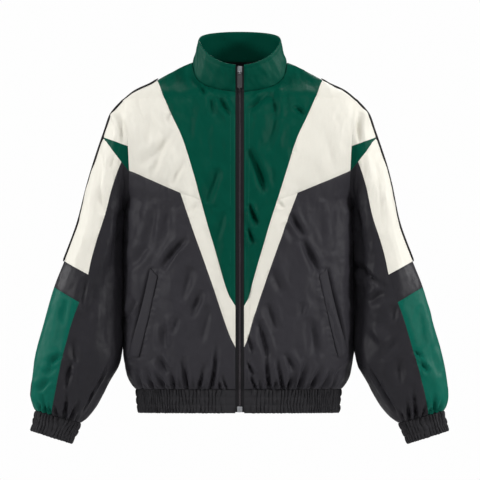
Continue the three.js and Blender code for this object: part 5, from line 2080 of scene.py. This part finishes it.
@dataclass
class Zip:
    """The closed zip: two woven tapes and the interlocked coil; the stitches that hold them are sewn with
    the fronts.
    """

    trunk: Trunk
    collar: Collar
    hem: HemBand
    tape_inner: float = 2.3
    tape_wall: float = 1.2
    tape_sink: float = 0.4
    tape_rows: int = 240
    top_z: float = -0.9
    bottom_z: float = -691.3
    coil_bottom: float = -679.5
    tooth_pitch: float = 1.7
    tooth: tuple[float, float, float] = (4.2, 1.35, 1.5)
    tooth_slant: float = 0.22

    def front_y(self, z: Array) -> Array:
        """The cloth's front on the centre line: the hem band, the trunk, then the collar."""
        ends = self.collar.surface(np.zeros(2), np.array([0.0, 1.0]))
        hem = self.hem
        on_hem = -mixed(hem.bottom.front, hem.top.front, (z - hem.bottom_z) / (hem.top_z - hem.bottom_z))
        on_collar = mixed(ends[0, 1], ends[1, 1], (z - ends[0, 2]) / (ends[1, 2] - ends[0, 2]))
        return np.where(z < hem.top_z, on_hem, np.where(z < ends[0, 2], -self.trunk.front(z), on_collar))

    def tape(self) -> MeshData:
        """The left tape: a flat bar with a raised cord along its inner edge."""
        z = np.linspace(self.bottom_z, self.top_z, self.tape_rows)
        front = self.front_y(z) + self.tape_sink
        low, high = self.tape_inner, self.trunk.zip_edge - 0.25
        section = (
            (low, 0.2),
            (low + 0.3, -0.25),
            (low + 0.9, -0.25),
            (low + 1.3, 0.0),
            (high - 0.4, 0.0),
            (high, 0.25),
            (high, 0.9),
            (high - 0.3, self.tape_wall),
            (low + 0.3, self.tape_wall),
            (low, 0.9),
        )
        across, behind = np.array(section).T
        return loft(xyz(across, front[:, None] + behind, z[:, None]), True, False)

    def coil(self) -> MeshData:
        """The coil: short bars that reach over the centre line from each side in turn, slanted a little."""
        count = int((self.top_z - self.coil_bottom) / self.tooth_pitch)
        z = self.coil_bottom + (np.arange(count) + 0.5) * self.tooth_pitch
        y = self.front_y(z)
        slope = (self.front_y(z + 5) - self.front_y(z - 5)) / 10
        up = unit(xyz(0, slope, 1))
        sign = np.where(np.arange(count) % 2, 1.0, -1.0)
        across = unit(xyz(1, 0, self.tooth_slant * sign))
        out = unit(np.cross(across, up))
        points, quads = rounded_bar(*self.tooth)
        centres = xyz(0.25 * sign, y + 0.15, z)
        return repeated(points, quads, centres, np.stack((across, up, -out), axis=1))

    def make(self, workshop: Workshop) -> None:
        """Builds and dresses the tapes and the coil."""
        tape = self.tape()
        for side in Side:
            node = f"zip_tape_{side.word}"
            workshop.piece(f"woven_{node}", tape.on(side), TAPE, "dark_tape", [node])
        workshop.piece("moulded_zip_coil", self.coil(), COIL, "dark_tape", ["zip_coil"])


# Stage


class Lamp(NamedTuple):
    """A square soft light: its place, side in metres, power in watts and the height that it looks at."""

    name: str
    place: tuple[float, float, float]
    size: float
    watts: float
    aim_z: float = -0.35


LAMPS = (
    Lamp("key", (0.1, -2.0, 3.0), 0.6, 60, -0.3),
    Lamp("right_side", (-3.8, -1.9, 0.7), 0.8, 98),
    Lamp("left_side", (3.8, -1.9, 0.7), 0.8, 106),
    Lamp("front_fill", (0.2, -4.6, -0.1), 0.9, 12),
    Lamp("back_right", (-3.9, 1.6, 0.9), 0.8, 62),
    Lamp("back_left", (3.9, 1.6, 0.9), 0.8, 66),
    Lamp("back_fill", (0.3, 3.6, 2.4), 2.0, 95),
)


class Stage:
    """The pale floor, the soft lights and the camera."""

    DISTANCE = 24.0
    FRAME_WIDTH = 0.96
    PLANE_Y = -0.02
    CENTRE_X = 0.0005
    CENTRE_Z = -0.348
    SENSOR = 36.0
    FLOOR_Z = -1.42
    FLOOR_HALF = 2.6
    PALE = (0.64, 0.64, 0.64)
    SEEN_WHITE = (0.99, 0.99, 0.99, 1)
    LIT_WHITE = (1, 1, 1, 1)
    LIT_STRENGTH = 0.07

    def floor(self) -> None:
        """A pale floor where a wearer would stand."""
        marks = np.linspace(-self.FLOOR_HALF, self.FLOOR_HALF, 5)
        y, x = np.meshgrid(marks, marks)
        data = loft(xyz(x, y, self.FLOOR_Z) / MM, False, False)
        shader = Shader("pale_floor")
        colour = shader.tints(shader.noise(0.5), self.PALE, 0.02)
        mesh = data.mesh("studio_floor")
        mesh.materials.append(shader.finish({"Base Color": colour, "Roughness": 0.8}))
        placed("studio_floor", mesh)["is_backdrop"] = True

    def light(self, lamp: Lamp) -> None:
        """Hangs a lamp."""
        data = bpy.data.lights.new(lamp.name, "AREA")
        data.size = lamp.size
        data.energy = lamp.watts
        made = placed(lamp.name, data)
        made.location = lamp.place
        direction = Vector((0, 0, lamp.aim_z)) - Vector(lamp.place)
        made.rotation_mode = "QUATERNION"
        made.rotation_quaternion = direction.to_track_quat("-Z", "Y")

    def sky(self) -> None:
        """A white studio round the jacket that lights it less brightly than it looks."""
        world = bpy.data.worlds.new("white_studio")
        bpy.context.scene.world = world
        world.use_nodes = True
        tree = world.node_tree
        tree.nodes.clear()
        mix = tree.nodes.new("ShaderNodeMixShader")
        for slot, colour, strength in ((1, self.LIT_WHITE, self.LIT_STRENGTH), (2, self.SEEN_WHITE, 1.0)):
            light = tree.nodes.new("ShaderNodeBackground")
            light.inputs["Color"].default_value = colour
            light.inputs["Strength"].default_value = strength
            tree.links.new(light.outputs["Background"], mix.inputs[slot])
        rays = tree.nodes.new("ShaderNodeLightPath")
        tree.links.new(rays.outputs["Is Camera Ray"], mix.inputs["Fac"])
        end = tree.nodes.new("ShaderNodeOutputWorld")
        tree.links.new(mix.outputs["Shader"], end.inputs["Surface"])

    def camera(self) -> None:
        """A level camera far in front, framed as the photograph is."""
        data = bpy.data.cameras.new("front_camera")
        data.sensor_width = self.SENSOR
        data.lens = self.SENSOR * (self.DISTANCE + self.PLANE_Y) / self.FRAME_WIDTH
        made = placed("front_camera", data)
        made.location = (self.CENTRE_X, -self.DISTANCE, self.CENTRE_Z)
        made.rotation_euler = (math.pi / 2, 0, 0)
        bpy.context.scene.camera = made

    def make(self) -> None:
        """Sets the stage."""
        self.floor()
        self.sky()
        for lamp in LAMPS:
            self.light(lamp)
        self.camera()
        bpy.context.scene.view_settings.view_transform = "Standard"


def corners() -> list[list[float]]:
    """The shown object's lowest and highest corners as plain lists."""
    return [list(corner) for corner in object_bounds()]


def main() -> None:
    """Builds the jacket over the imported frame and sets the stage."""
    logging.basicConfig(level=logging.INFO, format="%(message)s")
    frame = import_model()
    workshop = Workshop()
    trunk = Trunk()
    sleeve = Sleeve(trunk)
    collar, hem = Collar(trunk), HemBand(trunk)
    body = TrunkCloth(trunk)
    body.make(workshop)
    body.sew(workshop)
    SleeveCloth(sleeve).make(workshop)
    collar.make(workshop)
    hem.make(workshop)
    Cuffs().make(workshop)
    Welts(trunk, body).make(workshop)
    Piping(trunk, sleeve).make(workshop)
    Zip(trunk, collar, hem).make(workshop)
    for node, finish in (("zip_retainer", SATIN), ("zip_slider", SATIN), ("pull_tab", ENAMEL)):
        mesh = frame["nodes"][node].data
        mesh.materials.clear()
        mesh.materials.append(workshop.material(finish))
    Stage().make()


if __name__ == "__main__":
    main()
